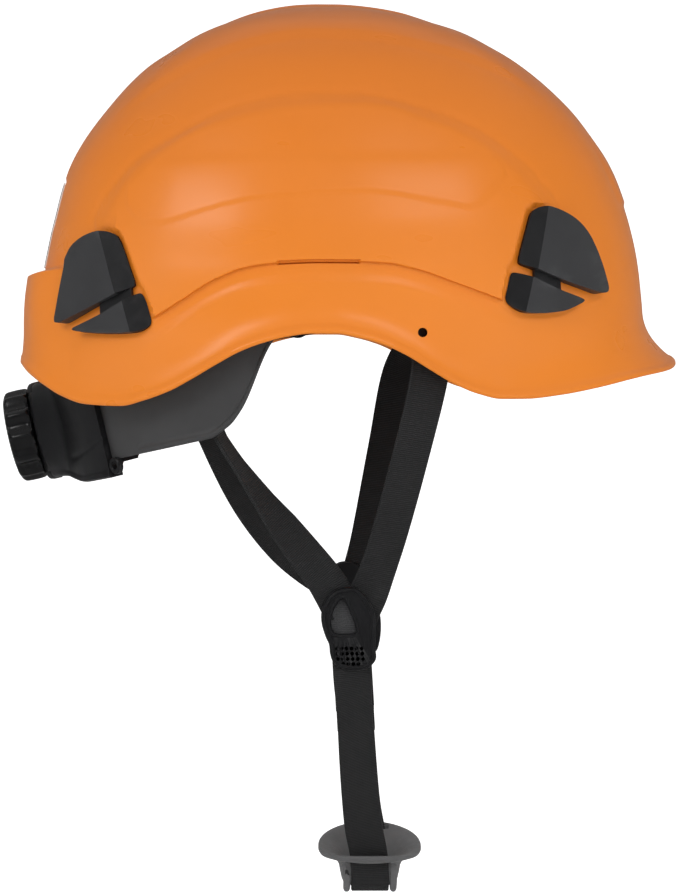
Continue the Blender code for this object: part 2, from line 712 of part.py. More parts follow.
# ---------------------------------------------------------------- side sliders
# outline of the frame and flap in side elevation, and the flap's window: (y, z)
FLAP_OUTLINE = [
    (-7.5, -201.9), (-4.3, -202.3), (-1.5, -203.9), (1.0, -206.5), (2.6, -210.2),
    (3.2, -213.4), (2.8, -217.4), (1.4, -221.9), (0.0, -225.1), (-0.4, -228.7),
    (-1.5, -232.0), (-3.5, -234.0), (-6.7, -235.2), (-11.5, -235.6), (-15.6, -234.8),
    (-18.0, -232.8), (-19.2, -230.4), (-18.8, -226.3), (-18.8, -215.0), (-18.2, -211.4),
    (-16.4, -207.8), (-14.0, -204.5), (-10.7, -202.1)]
FLAP_WINDOW = [(-5.9, -206.9), (-1.9, -211.0), (-0.8, -215.0), (-1.5, -219.1), (-3.5, -220.5),
               (-8.3, -220.7), (-10.9, -219.9), (-9.9, -215.4)]
# x ranges are for the left slider
FRAME_X = (65.4, 67.4)
FLAP_X = (71.4, 74.0)
WINDOW_CUT_X = (70, 76)
HINGE_X, HINGE_Y, HINGE_Z = 69.8, -6.4, -204.6
EAR_X = (66.4, 70.8)
EAR_Y = (2.1, 3.3)                    # from the hinge, both ways
EAR_Z = (-1.0, 0.9)                   # from the hinge
KNUCKLE_X = (68.7, 72.4)
KNUCKLE_HALF_WIDTH = 1.8
KNUCKLE_Z = (-1.15, 1.1)              # from the hinge
HINGE_HOLE_RADIUS, HINGE_HOLE_HALF_LENGTH = 0.75, 5
HINGE_PIN_RADIUS, HINGE_PIN_HALF_LENGTH = 0.45, 3.2


def hinge_cylinder(side, radius, half_length):
    return prism(circle((side * HINGE_X, HINGE_Z), radius, 12), 1,
                 HINGE_Y - half_length, HINGE_Y + half_length)


def mirrored(side, x_range):
    return [side * x for x in x_range]


def build_slider_frame(side, tag):
    frame = add("slider_frame_" + tag, prism(FLAP_OUTLINE, 0, *mirrored(side, FRAME_X)),
                BLACK, roughness=0.4)
    for key, sign in (("a", -1), ("b", 1)):
        fuse(frame, "ear_" + key, f"cutter_ear_{tag}_{key}",
             block(mirrored(side, EAR_X), [HINGE_Y + sign * y for y in EAR_Y],
                   [HINGE_Z + z for z in EAR_Z]))
    cut(frame, "cutter_ear_hole_" + tag,
        hinge_cylinder(side, HINGE_HOLE_RADIUS, HINGE_HOLE_HALF_LENGTH))


def build_flap_pin(side, tag):
    add("flap_pin_" + tag, hinge_cylinder(side, HINGE_PIN_RADIUS, HINGE_PIN_HALF_LENGTH),
        STEEL, roughness=0.3, metallic=1.0)


def build_slider_flap(side, tag):
    pivot = add_pivot("pivot_slider_flap_" + tag, (side * HINGE_X, HINGE_Y, HINGE_Z))
    flap = add("slider_flap_" + tag, prism(FLAP_OUTLINE, 0, *mirrored(side, FLAP_X)),
               BLACK, roughness=0.35, pivot=pivot)
    fuse(flap, "knuckle", "cutter_knuckle_" + tag,
         block(mirrored(side, KNUCKLE_X),
               (HINGE_Y - KNUCKLE_HALF_WIDTH, HINGE_Y + KNUCKLE_HALF_WIDTH),
               [HINGE_Z + z for z in KNUCKLE_Z]))
    cut(flap, "cutter_knuckle_hole_" + tag,
        hinge_cylinder(side, HINGE_HOLE_RADIUS, HINGE_HOLE_HALF_LENGTH))
    cut(flap, "cutter_window_" + tag, prism(FLAP_WINDOW, 0, *mirrored(side, WINDOW_CUT_X)))


def build_sliders():
    for side, tag in SIDES:
        build_slider_frame(side, tag)
        build_flap_pin(side, tag)
        build_slider_flap(side, tag)


# ---------------------------------------------------------------- chin loop
CUP_Y = -17.2
# lower chin strap: left half from the slider to under the cup, (x, y, z)
CHIN_HALF = [(69.4, -9.2, -229.0), (69.0, -9.7, -239.0), (51.5, -11.6, -272.0),
             (33.5, -14.0, -303.0), (26.4, -16.4, -317.5), (23.4, CUP_Y, -328.0),
             (17.5, CUP_Y, -334.6), (9.0, CUP_Y, -335.8), (0.0, CUP_Y, -335.8)]
CHIN_SWING = (0, -9.3, -232.0)        # on the axis the chin loop swings about
# distances down the left strap from the slider
STRAP_BREAK = (12.4, 52.6)            # the buckle fills this gap
STRAP_BREAK_MARGIN = 0.4              # path points this close to the gap are dropped
BUCKLE_AT = 33.0

# buckle outlines start at BUCKLE_AT
# socket: (along the strap, out from it), a U in section
SOCKET_OUTLINE = [(-20, -3.3), (9, -3.3), (9, -1.9), (-8, -1.9), (-8, 1.9), (9, 1.9),
                  (9, 3.3), (-20, 3.3)]
SOCKET_HALF_WIDTH = 8.6
# plug: (along the strap, across it), a base with a middle tongue
PLUG_OUTLINE = [(19.2, -8.4), (19.2, 8.4), (9.4, 8.4), (9.4, 2.2), (-6.0, 2.2), (-6.0, -2.2),
                (9.4, -2.2), (9.4, -8.4)]
PLUG_HALF_THICKNESS = 1.6
# prong: (along the strap, across it)
PRONG_OUTLINE = [(8.9, 4.1), (8.9, 6.6), (3.0, 8.4), (-3.5, 8.4), (-7.3, 6.0), (-7.3, 4.1)]
PRONG_HALF_THICKNESS = 1.55
PRONG_CENTRE = 6.2                    # prong's origin across the strap

# chin cup: (z, half width, half length) from the bowl's floor up, over the rim, down outside
CUP_STATIONS = [(-331.6, 10.0, 8.6), (-327.6, 14.6, 10.0), (-319.6, 17.8, 11.0),
                (-317.4, 21.0, 13.4), (-317.0, 32.5, 22.0), (-319.4, 31.9, 21.4),
                (-320.8, 21.0, 13.6), (-328.0, 19.4, 12.9), (-332.6, 15.6, 12.4),
                (-334.6, 12.0, 10.6)]
CUP_SLOT_STATIONS = ((-314.0, 28.1), (-323.0, 24.6))  # z, distance of the slot's centre in x
CUP_SLOT_HALF_WIDTH, CUP_SLOT_HALF_LENGTH = 1.7, 9.4
CUP_SLOT_Y = CUP_Y + 0.3


def chin_strap_at(distance):
    """Point and direction on the left chin strap, so far down from the slider."""
    path = [Vector(p) for p in curve_through(CHIN_HALF, 8)]
    for start, end in zip(path, path[1:]):
        length = (end - start).length
        if distance <= length:
            return start + (end - start) * (distance / length), (end - start).normalized()
        distance -= length


def build_chin_straps(pivot):
    """The left half is broken by the buckle."""
    half = curve_through(CHIN_HALF, 3)
    right = [(-x, y, z) for x, y, z in half]
    distances = [0.0]
    for start, end in zip(half, half[1:]):
        distances.append(distances[-1] + (Vector(end) - Vector(start)).length)
    gap_top, gap_bottom = STRAP_BREAK
    above = [p for p, d in zip(half, distances) if d < gap_top - STRAP_BREAK_MARGIN]
    above.append(chin_strap_at(gap_top)[0])
    below = [p for p, d in zip(half, distances) if d > gap_bottom + STRAP_BREAK_MARGIN]
    below.insert(0, chin_strap_at(gap_bottom)[0])
    for name, path in (("chin_strap", right + below[-2::-1]), ("chin_strap_buckle_end", above)):
        add(name, ribbon(path, STRAP_WIDTH, [Y_AXIS] * len(path)), WEBBING,
            roughness=0.75, pivot=pivot)


def build_buckle(pivot):
    """Side-release buckle on the left strap: a socket, a plug and two prongs."""
    centre, along = chin_strap_at(BUCKLE_AT)
    across = Vector(Y_AXIS)
    across = (across - along * across.dot(along)).normalized()
    out = along.cross(across).normalized()

    def place(a, b, c):
        return centre + along * a + across * b + out * c

    socket = [[place(a, s * SOCKET_HALF_WIDTH, c) for a, c in SOCKET_OUTLINE] for s in (-1, 1)]
    add("buckle_socket", loft(socket), BLACK, roughness=0.4, pivot=pivot)
    plug = [[place(a, b, s * PLUG_HALF_THICKNESS) for a, b in PLUG_OUTLINE] for s in (-1, 1)]
    add("buckle_plug", loft(plug), BLACK, roughness=0.4, pivot=pivot)
    for name, sign in (("front", -1), ("rear", 1)):
        prong = [[place(a, sign * b, s * PRONG_HALF_THICKNESS) for a, b in PRONG_OUTLINE]
                 for s in (-1, 1)]
        slide = add_pivot("slide_buckle_prong_" + name, place(0, sign * PRONG_CENTRE, 0))
        add("buckle_prong_" + name, loft(prong), BLACK, roughness=0.4, pivot=slide)


def build_chin_cup(pivot):
    """Flared oval rim over a narrow bowl, with a strap slot in each side of the rim."""
    rings = [[(half_width * x, CUP_Y + half_length * y, z) for x, y in circle((0, 0), 1, 28)]
             for z, half_width, half_length in CUP_STATIONS]
    cup = add("chin_cup", loft(rings), GREY, roughness=0.7, pivot=pivot)
    for side, tag in SIDES:
        rings = [[(side * (centre_x + i * CUP_SLOT_HALF_WIDTH),
                   CUP_SLOT_Y + k * CUP_SLOT_HALF_LENGTH, z) for i, k in SQUARE]
                 for z, centre_x in CUP_SLOT_STATIONS]
        cut(cup, "cutter_cup_slot_" + tag, loft(rings))


def build_chin_loop():
    pivot = add_pivot("pivot_chin_loop", CHIN_SWING)
    build_chin_straps(pivot)
    build_buckle(pivot)
    build_chin_cup(pivot)


# ---------------------------------------------------------------- nape band frame
TILT = math.radians(13.0)             # nape band leans down to the back
BAND_CENTRE = (0.0, 27.2, -118.7)     # centre the nape band is bent around


def band_frame(x, back, up):
    """World point from the band's tilted axes."""
    return (BAND_CENTRE[0] + x,
            BAND_CENTRE[1] + back * math.cos(TILT) + up * math.sin(TILT),
            BAND_CENTRE[2] - back * math.sin(TILT) + up * math.cos(TILT))


def band_point(side, degrees, radius, up):
    """Point on the nape band: degrees from the back towards the side, up across the band."""
    angle = math.radians(degrees)
    return band_frame(side * radius * math.sin(angle), radius * math.cos(angle), up)


def band_plate(side, start, end, steps, inner, outer, low, high):
    """Curved plate between two radii; low and high give its edges by angle in degrees."""
    rings = []
    for i in range(steps + 1):
        degrees = start + (end - start) * i / steps
        bottom, top = low(degrees), high(degrees)
        rings.append([band_point(side, degrees, radius, up) for radius, up in
                      ((inner, bottom), (outer, bottom), (outer, top), (inner, top))])
    return loft(rings)


def shaft_point(along, radius, angle):
    """Point about the knob's axis: along it from the band's centre, angle in radians."""
    return band_frame(radius * math.cos(angle), along, radius * math.sin(angle))


def shaft_turned(profile, count):
    """Solid turned about the knob's axis. profile is (distance along the axis, radius)."""
    return loft([[shaft_point(along, radius, 2 * math.pi * i / count) for i in range(count)]
                 for along, radius in profile])


# ---------------------------------------------------------------- ratchet housing
KNOB_RADIUS = 19.4
HOUSING_END = 41                      # degrees from the back
HOUSING_INNER, HOUSING_OUTER = 85.2, 91.7
HOUSING_RECESS = 88.95                # radius of the channel's floor
HOUSING_LIP = 2.4                     # width of the channel's edges
BOSS_PROFILE = [(90.0, KNOB_RADIUS), (98.6, KNOB_RADIUS), (99.5, 18.6)]
SHAFT_HOLE_PROFILE = [(87.0, 6.2), (101.0, 6.2)]
INNER_PLATE_END = 40.6
INNER_PLATE_OUTER = 86.6
INNER_PLATE_MARGIN = 2.8              # housing's edge to the plate's
NAPE_PAD_END = 32
NAPE_PAD_RADII = (80.6, 84.8)


def housing_low(degrees):
    return -20.5 - 4.0 * float(smooth_step(8, 30, abs(degrees)))


def housing_high(degrees):
    return 20.5 - 5.0 * float(smooth_step(16, 38, abs(degrees)))


def build_housing(pivot):
    rings = []
    steps = 32
    for i in range(steps + 1):
        degrees = -HOUSING_END + 2 * HOUSING_END * i / steps
        low, high = housing_low(degrees), housing_high(degrees)
        section = [(HOUSING_OUTER, low), (HOUSING_OUTER, high), (HOUSING_INNER, high),
                   (HOUSING_INNER, high - HOUSING_LIP), (HOUSING_RECESS, high - HOUSING_LIP),
                   (HOUSING_RECESS, low + HOUSING_LIP), (HOUSING_INNER, low + HOUSING_LIP),
                   (HOUSING_INNER, low)]
        rings.append([band_point(1, degrees, radius, up) for radius, up in section])
    housing = add("ratchet_housing", loft(rings), BLACK, roughness=0.45, pivot=pivot)
    fuse(housing, "boss", "cutter_boss", shaft_turned(BOSS_PROFILE, 40))
    cut(housing, "cutter_shaft_hole", shaft_turned(SHAFT_HOLE_PROFILE, 24))


def build_inner_plate(pivot):
    plate = band_plate(1, -INNER_PLATE_END, INNER_PLATE_END, 32,
                       HOUSING_INNER, INNER_PLATE_OUTER,
                       lambda degrees: housing_low(degrees) + INNER_PLATE_MARGIN,
                       lambda degrees: housing_high(degrees) - INNER_PLATE_MARGIN)
    add("housing_inner_plate", plate, BLACK, roughness=0.5, pivot=pivot)


def build_nape_pad(pivot):
    def taper(degrees):
        return 3 * float(smooth_step(20, NAPE_PAD_END, abs(degrees)))

    pad = band_plate(1, -NAPE_PAD_END, NAPE_PAD_END, 24, *NAPE_PAD_RADII,
                     lambda degrees: -15 + taper(degrees), lambda degrees: 12 - taper(degrees))
    add("nape_pad", pad, BLACK, roughness=0.9, pivot=pivot)


# ---------------------------------------------------------------- knob and pinion
KNOB_ORIGIN = 105.0                   # along the knob's axis
# profiles: (distance along the axis, radius)
KNOB_PROFILE = [
    (100.0, 4.3), (100.0, 17.6), (100.7, 18.9), (102.0, KNOB_RADIUS), (109.0, KNOB_RADIUS),
    (110.9, 18.6), (111.7, 16.4), (111.8, 8.1), (109.5, 8.1), (109.5, 3.6), (105.8, 3.6),
    (105.8, 1.8), (103.4, 1.8), (103.4, 4.3)]
KNOB_GRIP = range(2, 6)               # profile points the finger scallops are cut into
KNOB_SCALLOPS = 12
SCALLOP_AMPLITUDE = 0.55              # half a scallop's depth
KNOB_CAP_PROFILE = [(109.9, 7.7), (111.6, 7.7), (112.1, 6.6), (112.3, 3.0)]
KNOB_SCREW_PROFILE = [(91.0, 1.3), (106.3, 1.3), (106.3, 3.2), (108.6, 3.2)]
PINION_TEETH = 10
PINION_PITCH_RADIUS = 5.0
PINION_ROOT_RADIUS = 4.55
TOOTH_DEPTH = 0.95                    # on the pinion and on the arms' racks
PINION_SHAFT_RADIUS = 4.0
# (distance along the axis, toothed)
PINION_STATIONS = ((86.95, True), (89.3, True), (89.3, False), (103.1, False))
PINION_BORE_PROFILE = [(90.5, 1.65), (104.0, 1.65)]


def build_knob(pivot):
    rings = []
    count = 60
    for i in range(count):
        angle = 2 * math.pi * i / count
        dip = SCALLOP_AMPLITUDE * (1 - math.cos(KNOB_SCALLOPS * angle))
        rings.append([shaft_point(along, radius - (dip if j in KNOB_GRIP else 0), angle)
                      for j, (along, radius) in enumerate(KNOB_PROFILE)])
    add("ratchet_knob", loop_loft(rings), BLACK, roughness=0.3, pivot=pivot)


def pinion_radius(angle):
    """Radius of the toothed part at an angle in radians."""
    turn = (angle / (2 * math.pi / PINION_TEETH)) % 1.0
    from_crest = abs(turn - 0.5) * 2
    return PINION_ROOT_RADIUS + TOOTH_DEPTH * (1 - float(smooth_step(0.34, 0.62, from_crest)))


def build_pinion(pivot):
    count = PINION_TEETH * 6
    angles = [2 * math.pi * i / count for i in range(count)]
    rings = [[shaft_point(along, pinion_radius(angle) if toothed else PINION_SHAFT_RADIUS, angle)
              for angle in angles] for along, toothed in PINION_STATIONS]
    pinion = add("pinion", loft(rings), PINION_GREY, roughness=0.4, pivot=pivot)
    cut(pinion, "cutter_pinion_bore", shaft_turned(PINION_BORE_PROFILE, 16))


def build_knob_assembly():
    """Knob, its cap, screw and pinion turn about one axis."""
    pivot = add_pivot("pivot_ratchet_knob", band_frame(0, KNOB_ORIGIN, 0))
    build_knob(pivot)
    add("knob_cap", shaft_turned(KNOB_CAP_PROFILE, 28), BLACK, roughness=0.25, pivot=pivot)
    add("knob_screw", shaft_turned(KNOB_SCREW_PROFILE, 16), STEEL,
        roughness=0.3, metallic=1.0, pivot=pivot)
    build_pinion(pivot)


# ---------------------------------------------------------------- nape arms
# angles are degrees from the back
ARM_INNER = 87.0                      # inner radius
ARM_THICKNESS = 1.6
ARM_MIDDLE = ARM_INNER + ARM_THICKNESS / 2
ARM_START = -14.0
RACK_END = 41.0
RACK_STEP = math.degrees(2 * math.pi * PINION_PITCH_RADIUS / PINION_TEETH / ARM_MIDDLE)
RACK_CREST = 4.85                     # tooth crest from the band's centre line
TAIL_EDGE = 11.2                      # tail's far edge from the band's centre line
WIDEN = (41.2, 43.6)                  # the tail widens into the panel
PANEL_STATIONS = [WIDEN[0], 42.4, WIDEN[1], *range(46, 110, 3), 111, 112]
PANEL_LOW = -17.5
# rises of the panel's edges: (rise, from angle, to angle)
PANEL_LOW_RISES = ((6.0, 70, 78), (29.0, 76, 92))
PANEL_HIGH_RISES = ((3.0, 52, 60), (14.0, 74, 90))
TIP_START, TIP_TAPER = 108, 0.9       # past this angle each edge closes in, mm per degree
ARM_SLOT_HALF_ANGLE = 10.2
ARM_SLOT_HALF_HEIGHT = 3.3
ARM_SLOT_OVERCUT = 4


def rack_wave(degrees):
    """0 at a tooth crest, 1 at a root."""
    from_root = abs((degrees / RACK_STEP + 0.5) % 1.0 - 0.5) * 2
    return float(1 - smooth_step(0.52, 0.80, from_root))


def panel_edge(base, rises, degrees):
    return base + sum(rise * float(smooth_step(start, end, degrees))
                      for rise, start, end in rises)


def arm_edges(side, degrees):
    """Low and high edge: the right tail runs above the pinion, the left tail below it."""
    depth = rack_wave(degrees) if degrees < RACK_END else 1
    rack = RACK_CREST + TOOTH_DEPTH * depth
    tail_low, tail_high = (rack, TAIL_EDGE) if side < 0 else (-TAIL_EDGE, -rack)
    tip = max(degrees - TIP_START, 0) * TIP_TAPER
    low = panel_edge(PANEL_LOW, PANEL_LOW_RISES, degrees) + tip
    high = panel_edge(TAIL_EDGE, PANEL_HIGH_RISES, degrees) - tip
    widen = float(smooth_step(*WIDEN, degrees))
    return tail_low + (low - tail_low) * widen, tail_high + (high - tail_high) * widen


def arm_stations():
    """Angles along the arm: four to a rack tooth, then the panel's and tip's."""
    stations = []
    degrees = ARM_START
    while degrees < RACK_END:
        stations.append(degrees)
        degrees += RACK_STEP / 4
    return stations + PANEL_STATIONS


def arm_slot_centre():
    """Angle and height on the band where the side stud passes through."""
    y, z = STUD[0] - BAND_CENTRE[1], STUD[1] - BAND_CENTRE[2]
    back = y * math.cos(TILT) - z * math.sin(TILT)
    up = y * math.sin(TILT) + z * math.cos(TILT)
    return math.degrees(math.acos(back / ARM_MIDDLE)), up


def build_nape_arm(side, tag):
    """Tail, panel and front tongue share one strip, slotted for the side stud."""
    pivot = add_pivot("pivot_nape_arm_" + tag, BAND_CENTRE)
    outer = ARM_INNER + ARM_THICKNESS
    rings = []
    for degrees in arm_stations():
        low, high = arm_edges(side, degrees)
        rings.append([band_point(side, degrees, radius, up) for radius, up in
                      ((ARM_INNER, low), (outer, low), (outer, high), (ARM_INNER, high))])
    arm = add("nape_arm_" + tag, loft(rings), CHARCOAL, roughness=0.5, pivot=pivot)
    centre, up = arm_slot_centre()
    slot = band_plate(side, centre - ARM_SLOT_HALF_ANGLE, centre + ARM_SLOT_HALF_ANGLE, 10,
                      ARM_INNER - ARM_SLOT_OVERCUT, outer + ARM_SLOT_OVERCUT,
                      lambda _: up - ARM_SLOT_HALF_HEIGHT, lambda _: up + ARM_SLOT_HALF_HEIGHT)
    cut(arm, "cutter_arm_slot_" + tag, slot)


def build_cradle():
    pivot = add_pivot("pivot_nape_cradle", (0, *STUD))
    build_housing(pivot)
    build_inner_plate(pivot)
    build_nape_pad(pivot)
    build_knob_assembly()
    for side, tag in SIDES:
        build_nape_arm(side, tag)


# ---------------------------------------------------------------- build
def build():
    clear_scene()
    build_shell()
    build_foam_liner()
    build_reflective_tape()
    build_lamp_clips()
    build_headband()
    build_sweatband()
    build_crown_pad()
    build_crown_straps()
    build_suspension_keys()
    build_side_studs()
    build_side_straps()
    build_sliders()
    build_chin_loop()
    build_cradle()


build()
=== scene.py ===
# A climbing helmet: orange shell with foam liner, lamp clips, webbing with sliders and chin
# cup, and a nape cradle with a ratchet knob.
# Design units are millimetres, stored in metres. +Z is up, the wearer faces -Y and the wearer's
# right is -X. A plan angle is -90 degrees at the front, 0 at the side and 90 at the back.
import json
import math

import bmesh
import bpy
import numpy as np
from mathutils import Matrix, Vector

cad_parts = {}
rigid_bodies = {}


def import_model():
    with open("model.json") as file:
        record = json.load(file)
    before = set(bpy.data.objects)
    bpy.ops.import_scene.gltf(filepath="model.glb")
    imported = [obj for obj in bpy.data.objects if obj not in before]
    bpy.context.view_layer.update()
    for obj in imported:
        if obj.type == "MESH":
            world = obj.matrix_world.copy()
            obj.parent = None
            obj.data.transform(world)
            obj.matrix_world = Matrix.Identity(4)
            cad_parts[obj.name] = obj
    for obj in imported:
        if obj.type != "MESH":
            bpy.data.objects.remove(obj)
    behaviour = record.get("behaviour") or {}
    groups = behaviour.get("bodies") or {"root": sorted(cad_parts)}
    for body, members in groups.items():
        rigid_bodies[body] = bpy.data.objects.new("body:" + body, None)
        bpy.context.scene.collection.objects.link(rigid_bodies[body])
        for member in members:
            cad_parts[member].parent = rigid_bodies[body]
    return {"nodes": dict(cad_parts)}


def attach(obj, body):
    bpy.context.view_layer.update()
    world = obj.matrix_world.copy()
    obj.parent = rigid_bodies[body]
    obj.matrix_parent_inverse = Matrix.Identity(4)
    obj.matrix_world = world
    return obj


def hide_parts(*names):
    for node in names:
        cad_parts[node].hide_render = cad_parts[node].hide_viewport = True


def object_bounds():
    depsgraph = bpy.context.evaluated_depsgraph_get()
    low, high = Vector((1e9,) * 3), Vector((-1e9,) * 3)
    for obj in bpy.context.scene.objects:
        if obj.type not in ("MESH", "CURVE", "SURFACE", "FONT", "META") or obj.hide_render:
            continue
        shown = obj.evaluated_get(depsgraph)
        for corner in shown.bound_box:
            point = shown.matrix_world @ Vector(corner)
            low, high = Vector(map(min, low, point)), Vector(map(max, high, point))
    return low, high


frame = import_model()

BOX_LO, BOX_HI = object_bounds()
MM = 0.001
PI = math.pi
SIDES = ((-1, "right"), (1, "left"))    # sign of x and the name used for it

# ---------------------------------------------------------------- driving dimensions
# the dome's sections: (distance from the axis, height)
FRONT_PROFILE = [
    (0, 41.6), (18, 40.1), (33.5, 37.0), (49, 32.0), (64, 25.0), (79.5, 16.0), (95, 3.5),
    (105.5, -7.5), (115.5, -22.0), (120.5, -32.5), (125, -45.0), (129.3, -61.0),
    (131.8, -77.0), (133, -90.0), (133.6, -105.0), (133.6, -150.0)]
REAR_PROFILE = [
    (0, 41.6), (18, 40.8), (33.5, 37.4), (49, 32.2), (64, 24.7), (74.5, 18.0), (85, 8.5),
    (95, -3.0), (105.5, -17.5), (110.5, -27.5), (113, -35.5), (117, -52.0), (120, -66.0),
    (122, -77.0), (124.6, -98.0), (126.3, -111.0), (127, -150.0)]
SIDE_PROFILE = [
    (0, 41.6), (26, 39.0), (50, 30.5), (69, 15.0), (82, -7.0), (90.5, -32.0), (96, -56.0),
    (98.5, -76.0), (99.5, -92.0), (100.5, -110.0), (101, -150.0)]
# the rim's height: (plan angle, height)
RIM_WAVE = [
    (-90, -110.5), (-80, -113.5), (-70, -117.1), (-62, -120.3), (-54.7, -123.8),
    (-47.4, -126.8), (-40.5, -128.5), (-35.9, -128.6), (-31.3, -126.6), (-26.6, -122.7),
    (-21.8, -117.2), (-16.8, -111.3), (-11.8, -107.0), (-6.7, -104.3), (-1.5, -102.7),
    (3.7, -102.7), (8.9, -103.9), (14.0, -106.2), (19.1, -109.7), (24.1, -114.8),
    (29.0, -120.3), (34.0, -125.4), (39.1, -128.9), (44.3, -131.2), (52.7, -130.3),
    (59.4, -126.8), (65.8, -121.7), (72.0, -116.9), (80, -112.5), (90, -110.5)]
CENTRE_Z = -90.0
CENTRE = np.array([0, 0, CENTRE_Z])
RIM_HALF_WIDTH, RIM_FRONT, RIM_REAR = 104.0, 148.0, 131.0
SHELL_WALL, LINER_GAP, LINER_WALL = 2.6, 0.9, 15.0

# the nape band lies round a centre, tilted down towards the back
TILT = math.radians(13.0)
BAND_CENTRE = np.array((0.0, 27.2, -118.7))
BAND_AXIS = np.array((0.0, math.cos(TILT), -math.sin(TILT)))    # out through the knob
BAND_UP = np.array((0.0, math.sin(TILT), math.cos(TILT)))
BAND_RADIUS, ARM_THICKNESS = 87.0, 1.6
BAND_DEGREE_MM = 1.53                   # mm of arc for one degree on the band
STUD_Y, STUD_Z = 15.0, -95.0            # side studs

STRAP_THICKNESS, STRAP_WIDTH, CUP_Y = 1.3, 16.0, -17.2
RIB_PITCH = 0.82                        # pitch of the webbing's cross ribs


# ---------------------------------------------------------------- curves
def pchip(table):
    """Monotone cubic through the (x, y) rows of a table."""
    xs, ys = np.array(table, float).T
    width = np.diff(xs)
    slope = np.diff(ys) / width
    tangent = np.zeros(len(xs))
    for i in range(1, len(xs) - 1):
        if slope[i - 1] * slope[i] > 0:
            w1, w2 = 2 * width[i] + width[i - 1], width[i] + 2 * width[i - 1]
            tangent[i] = (w1 + w2) / (w1 / slope[i - 1] + w2 / slope[i])
    tangent[0], tangent[-1] = slope[0], slope[-1]

    def curve(x):
        x = np.asarray(x, float)
        i = np.clip(np.searchsorted(xs, x) - 1, 0, len(xs) - 2)
        t = np.clip((x - xs[i]) / width[i], 0, 1)
        return ((2 * t**3 - 3 * t**2 + 1) * ys[i] + (t**3 - 2 * t**2 + t) * width[i] * tangent[i]
                + (3 * t**2 - 2 * t**3) * ys[i + 1] + (t**3 - t**2) * width[i] * tangent[i + 1])

    return curve


def smooth(start, end, x):
    """0 at start to 1 at end, eased at both; start may be the larger."""
    t = np.clip((np.asarray(x, float) - start) / (end - start), 0, 1)
    return t * t * (3 - 2 * t)


def bisect(is_above, low, high, rounds):
    """Where is_above turns true between the arrays low and high."""
    for _ in range(rounds):
        middle = (low + high) / 2
        above = is_above(middle)
        high = np.where(above, middle, high)
        low = np.where(above, low, middle)
    return (low + high) / 2


def catmull(before, start, end, after, t):
    return 0.5 * (2 * start + (end - before) * t
                  + (2 * before - 5 * start + 4 * end - after) * t**2
                  + (3 * start - before - 3 * end + after) * t**3)


def curve_through(points, per_span):
    """Open smooth curve through points."""
    knots = [np.array(point, float) for point in points]
    knots = [2 * knots[0] - knots[1]] + knots + [2 * knots[-1] - knots[-2]]
    curve = [catmull(*knots[i - 1:i + 3], k / per_span)
             for i in range(1, len(knots) - 2) for k in range(per_span)]
    return np.array(curve + [knots[-2]])


def smooth_loop(points, per_span):
    """Closed smooth curve through points."""
    knots = np.array(points, float)
    count = len(knots)
    return np.array([catmull(knots[i - 1], knots[i], knots[(i + 1) % count],
                             knots[(i + 2) % count], k / per_span)
                     for i in range(count) for k in range(per_span)])


def lengths_along(path):
    steps = np.linalg.norm(np.diff(path, axis=0), axis=1)
    return np.concatenate([[0], np.cumsum(steps)])


def resample(loop, count):
    """Closed loop with evenly spaced points."""
    closed = np.concatenate([loop, loop[:1]])
    lengths = lengths_along(closed)
    at = np.linspace(0, lengths[-1], count, endpoint=False)
    return np.stack([np.interp(at, lengths, closed[:, axis]) for axis in (0, 1)], 1)


def inset_loop(loop, distance):
    """Loop moved inwards along its own normals."""
    following = np.roll(loop, -1, 0)
    tangent = following - np.roll(loop, 1, 0)
    tangent /= np.linalg.norm(tangent, axis=1, keepdims=True)
    normal = np.stack([-tangent[:, 1], tangent[:, 0]], 1)
    area = np.sum(loop[:, 0] * following[:, 1] - following[:, 0] * loop[:, 1])
    return loop + normal * distance * (1 if area > 0 else -1)


def unit(vectors):
    return vectors / np.linalg.norm(vectors, axis=-1, keepdims=True)


def turn_angles(count):
    """Angles once round a circle."""
    return np.linspace(0, 2 * PI, count, endpoint=False)


# ---------------------------------------------------------------- the helmet's surface
def polar(profile):
    """Distance from the centre against elevation in degrees, carried over the apex."""
    points = np.array(profile, float)
    height = points[:, 1] - CENTRE_Z
    angle = np.degrees(np.arctan2(height, points[:, 0]))[::-1]
    distance = np.hypot(points[:, 0], height)[::-1]
    return pchip(np.column_stack([np.append(angle, 180 - angle[-2]),
                                  np.append(distance, distance[-2])]))


front_distance, rear_distance, side_distance = map(
    polar, (FRONT_PROFILE, REAR_PROFILE, SIDE_PROFILE))
rim_height = pchip(RIM_WAVE)


def dome_distance(theta, elevation):
    """Distance of the plain dome from the centre, without flare or ledge."""
    cos, sin = np.cos(theta), np.sin(theta)
    degrees = np.degrees(elevation)
    power = 2 + 0.35 * np.cos(elevation) ** 2
    end = np.where(sin < 0, front_distance(degrees), rear_distance(degrees))
    return (np.abs(cos / side_distance(degrees)) ** power
            + np.abs(sin / end) ** power) ** (-1 / power)


def fold(theta):
    """Plan angle in degrees, folded to one side."""
    return np.degrees(np.arctan2(np.sin(theta), np.abs(np.cos(theta))))


def rim_radius(theta):
    cos, sin = np.abs(np.cos(theta)), np.sin(theta)
    end = np.where(sin < 0, RIM_FRONT, RIM_REAR)
    return ((cos / RIM_HALF_WIDTH) ** 2.3 + (np.abs(sin) / end) ** 2.3) ** (-1 / 2.3)


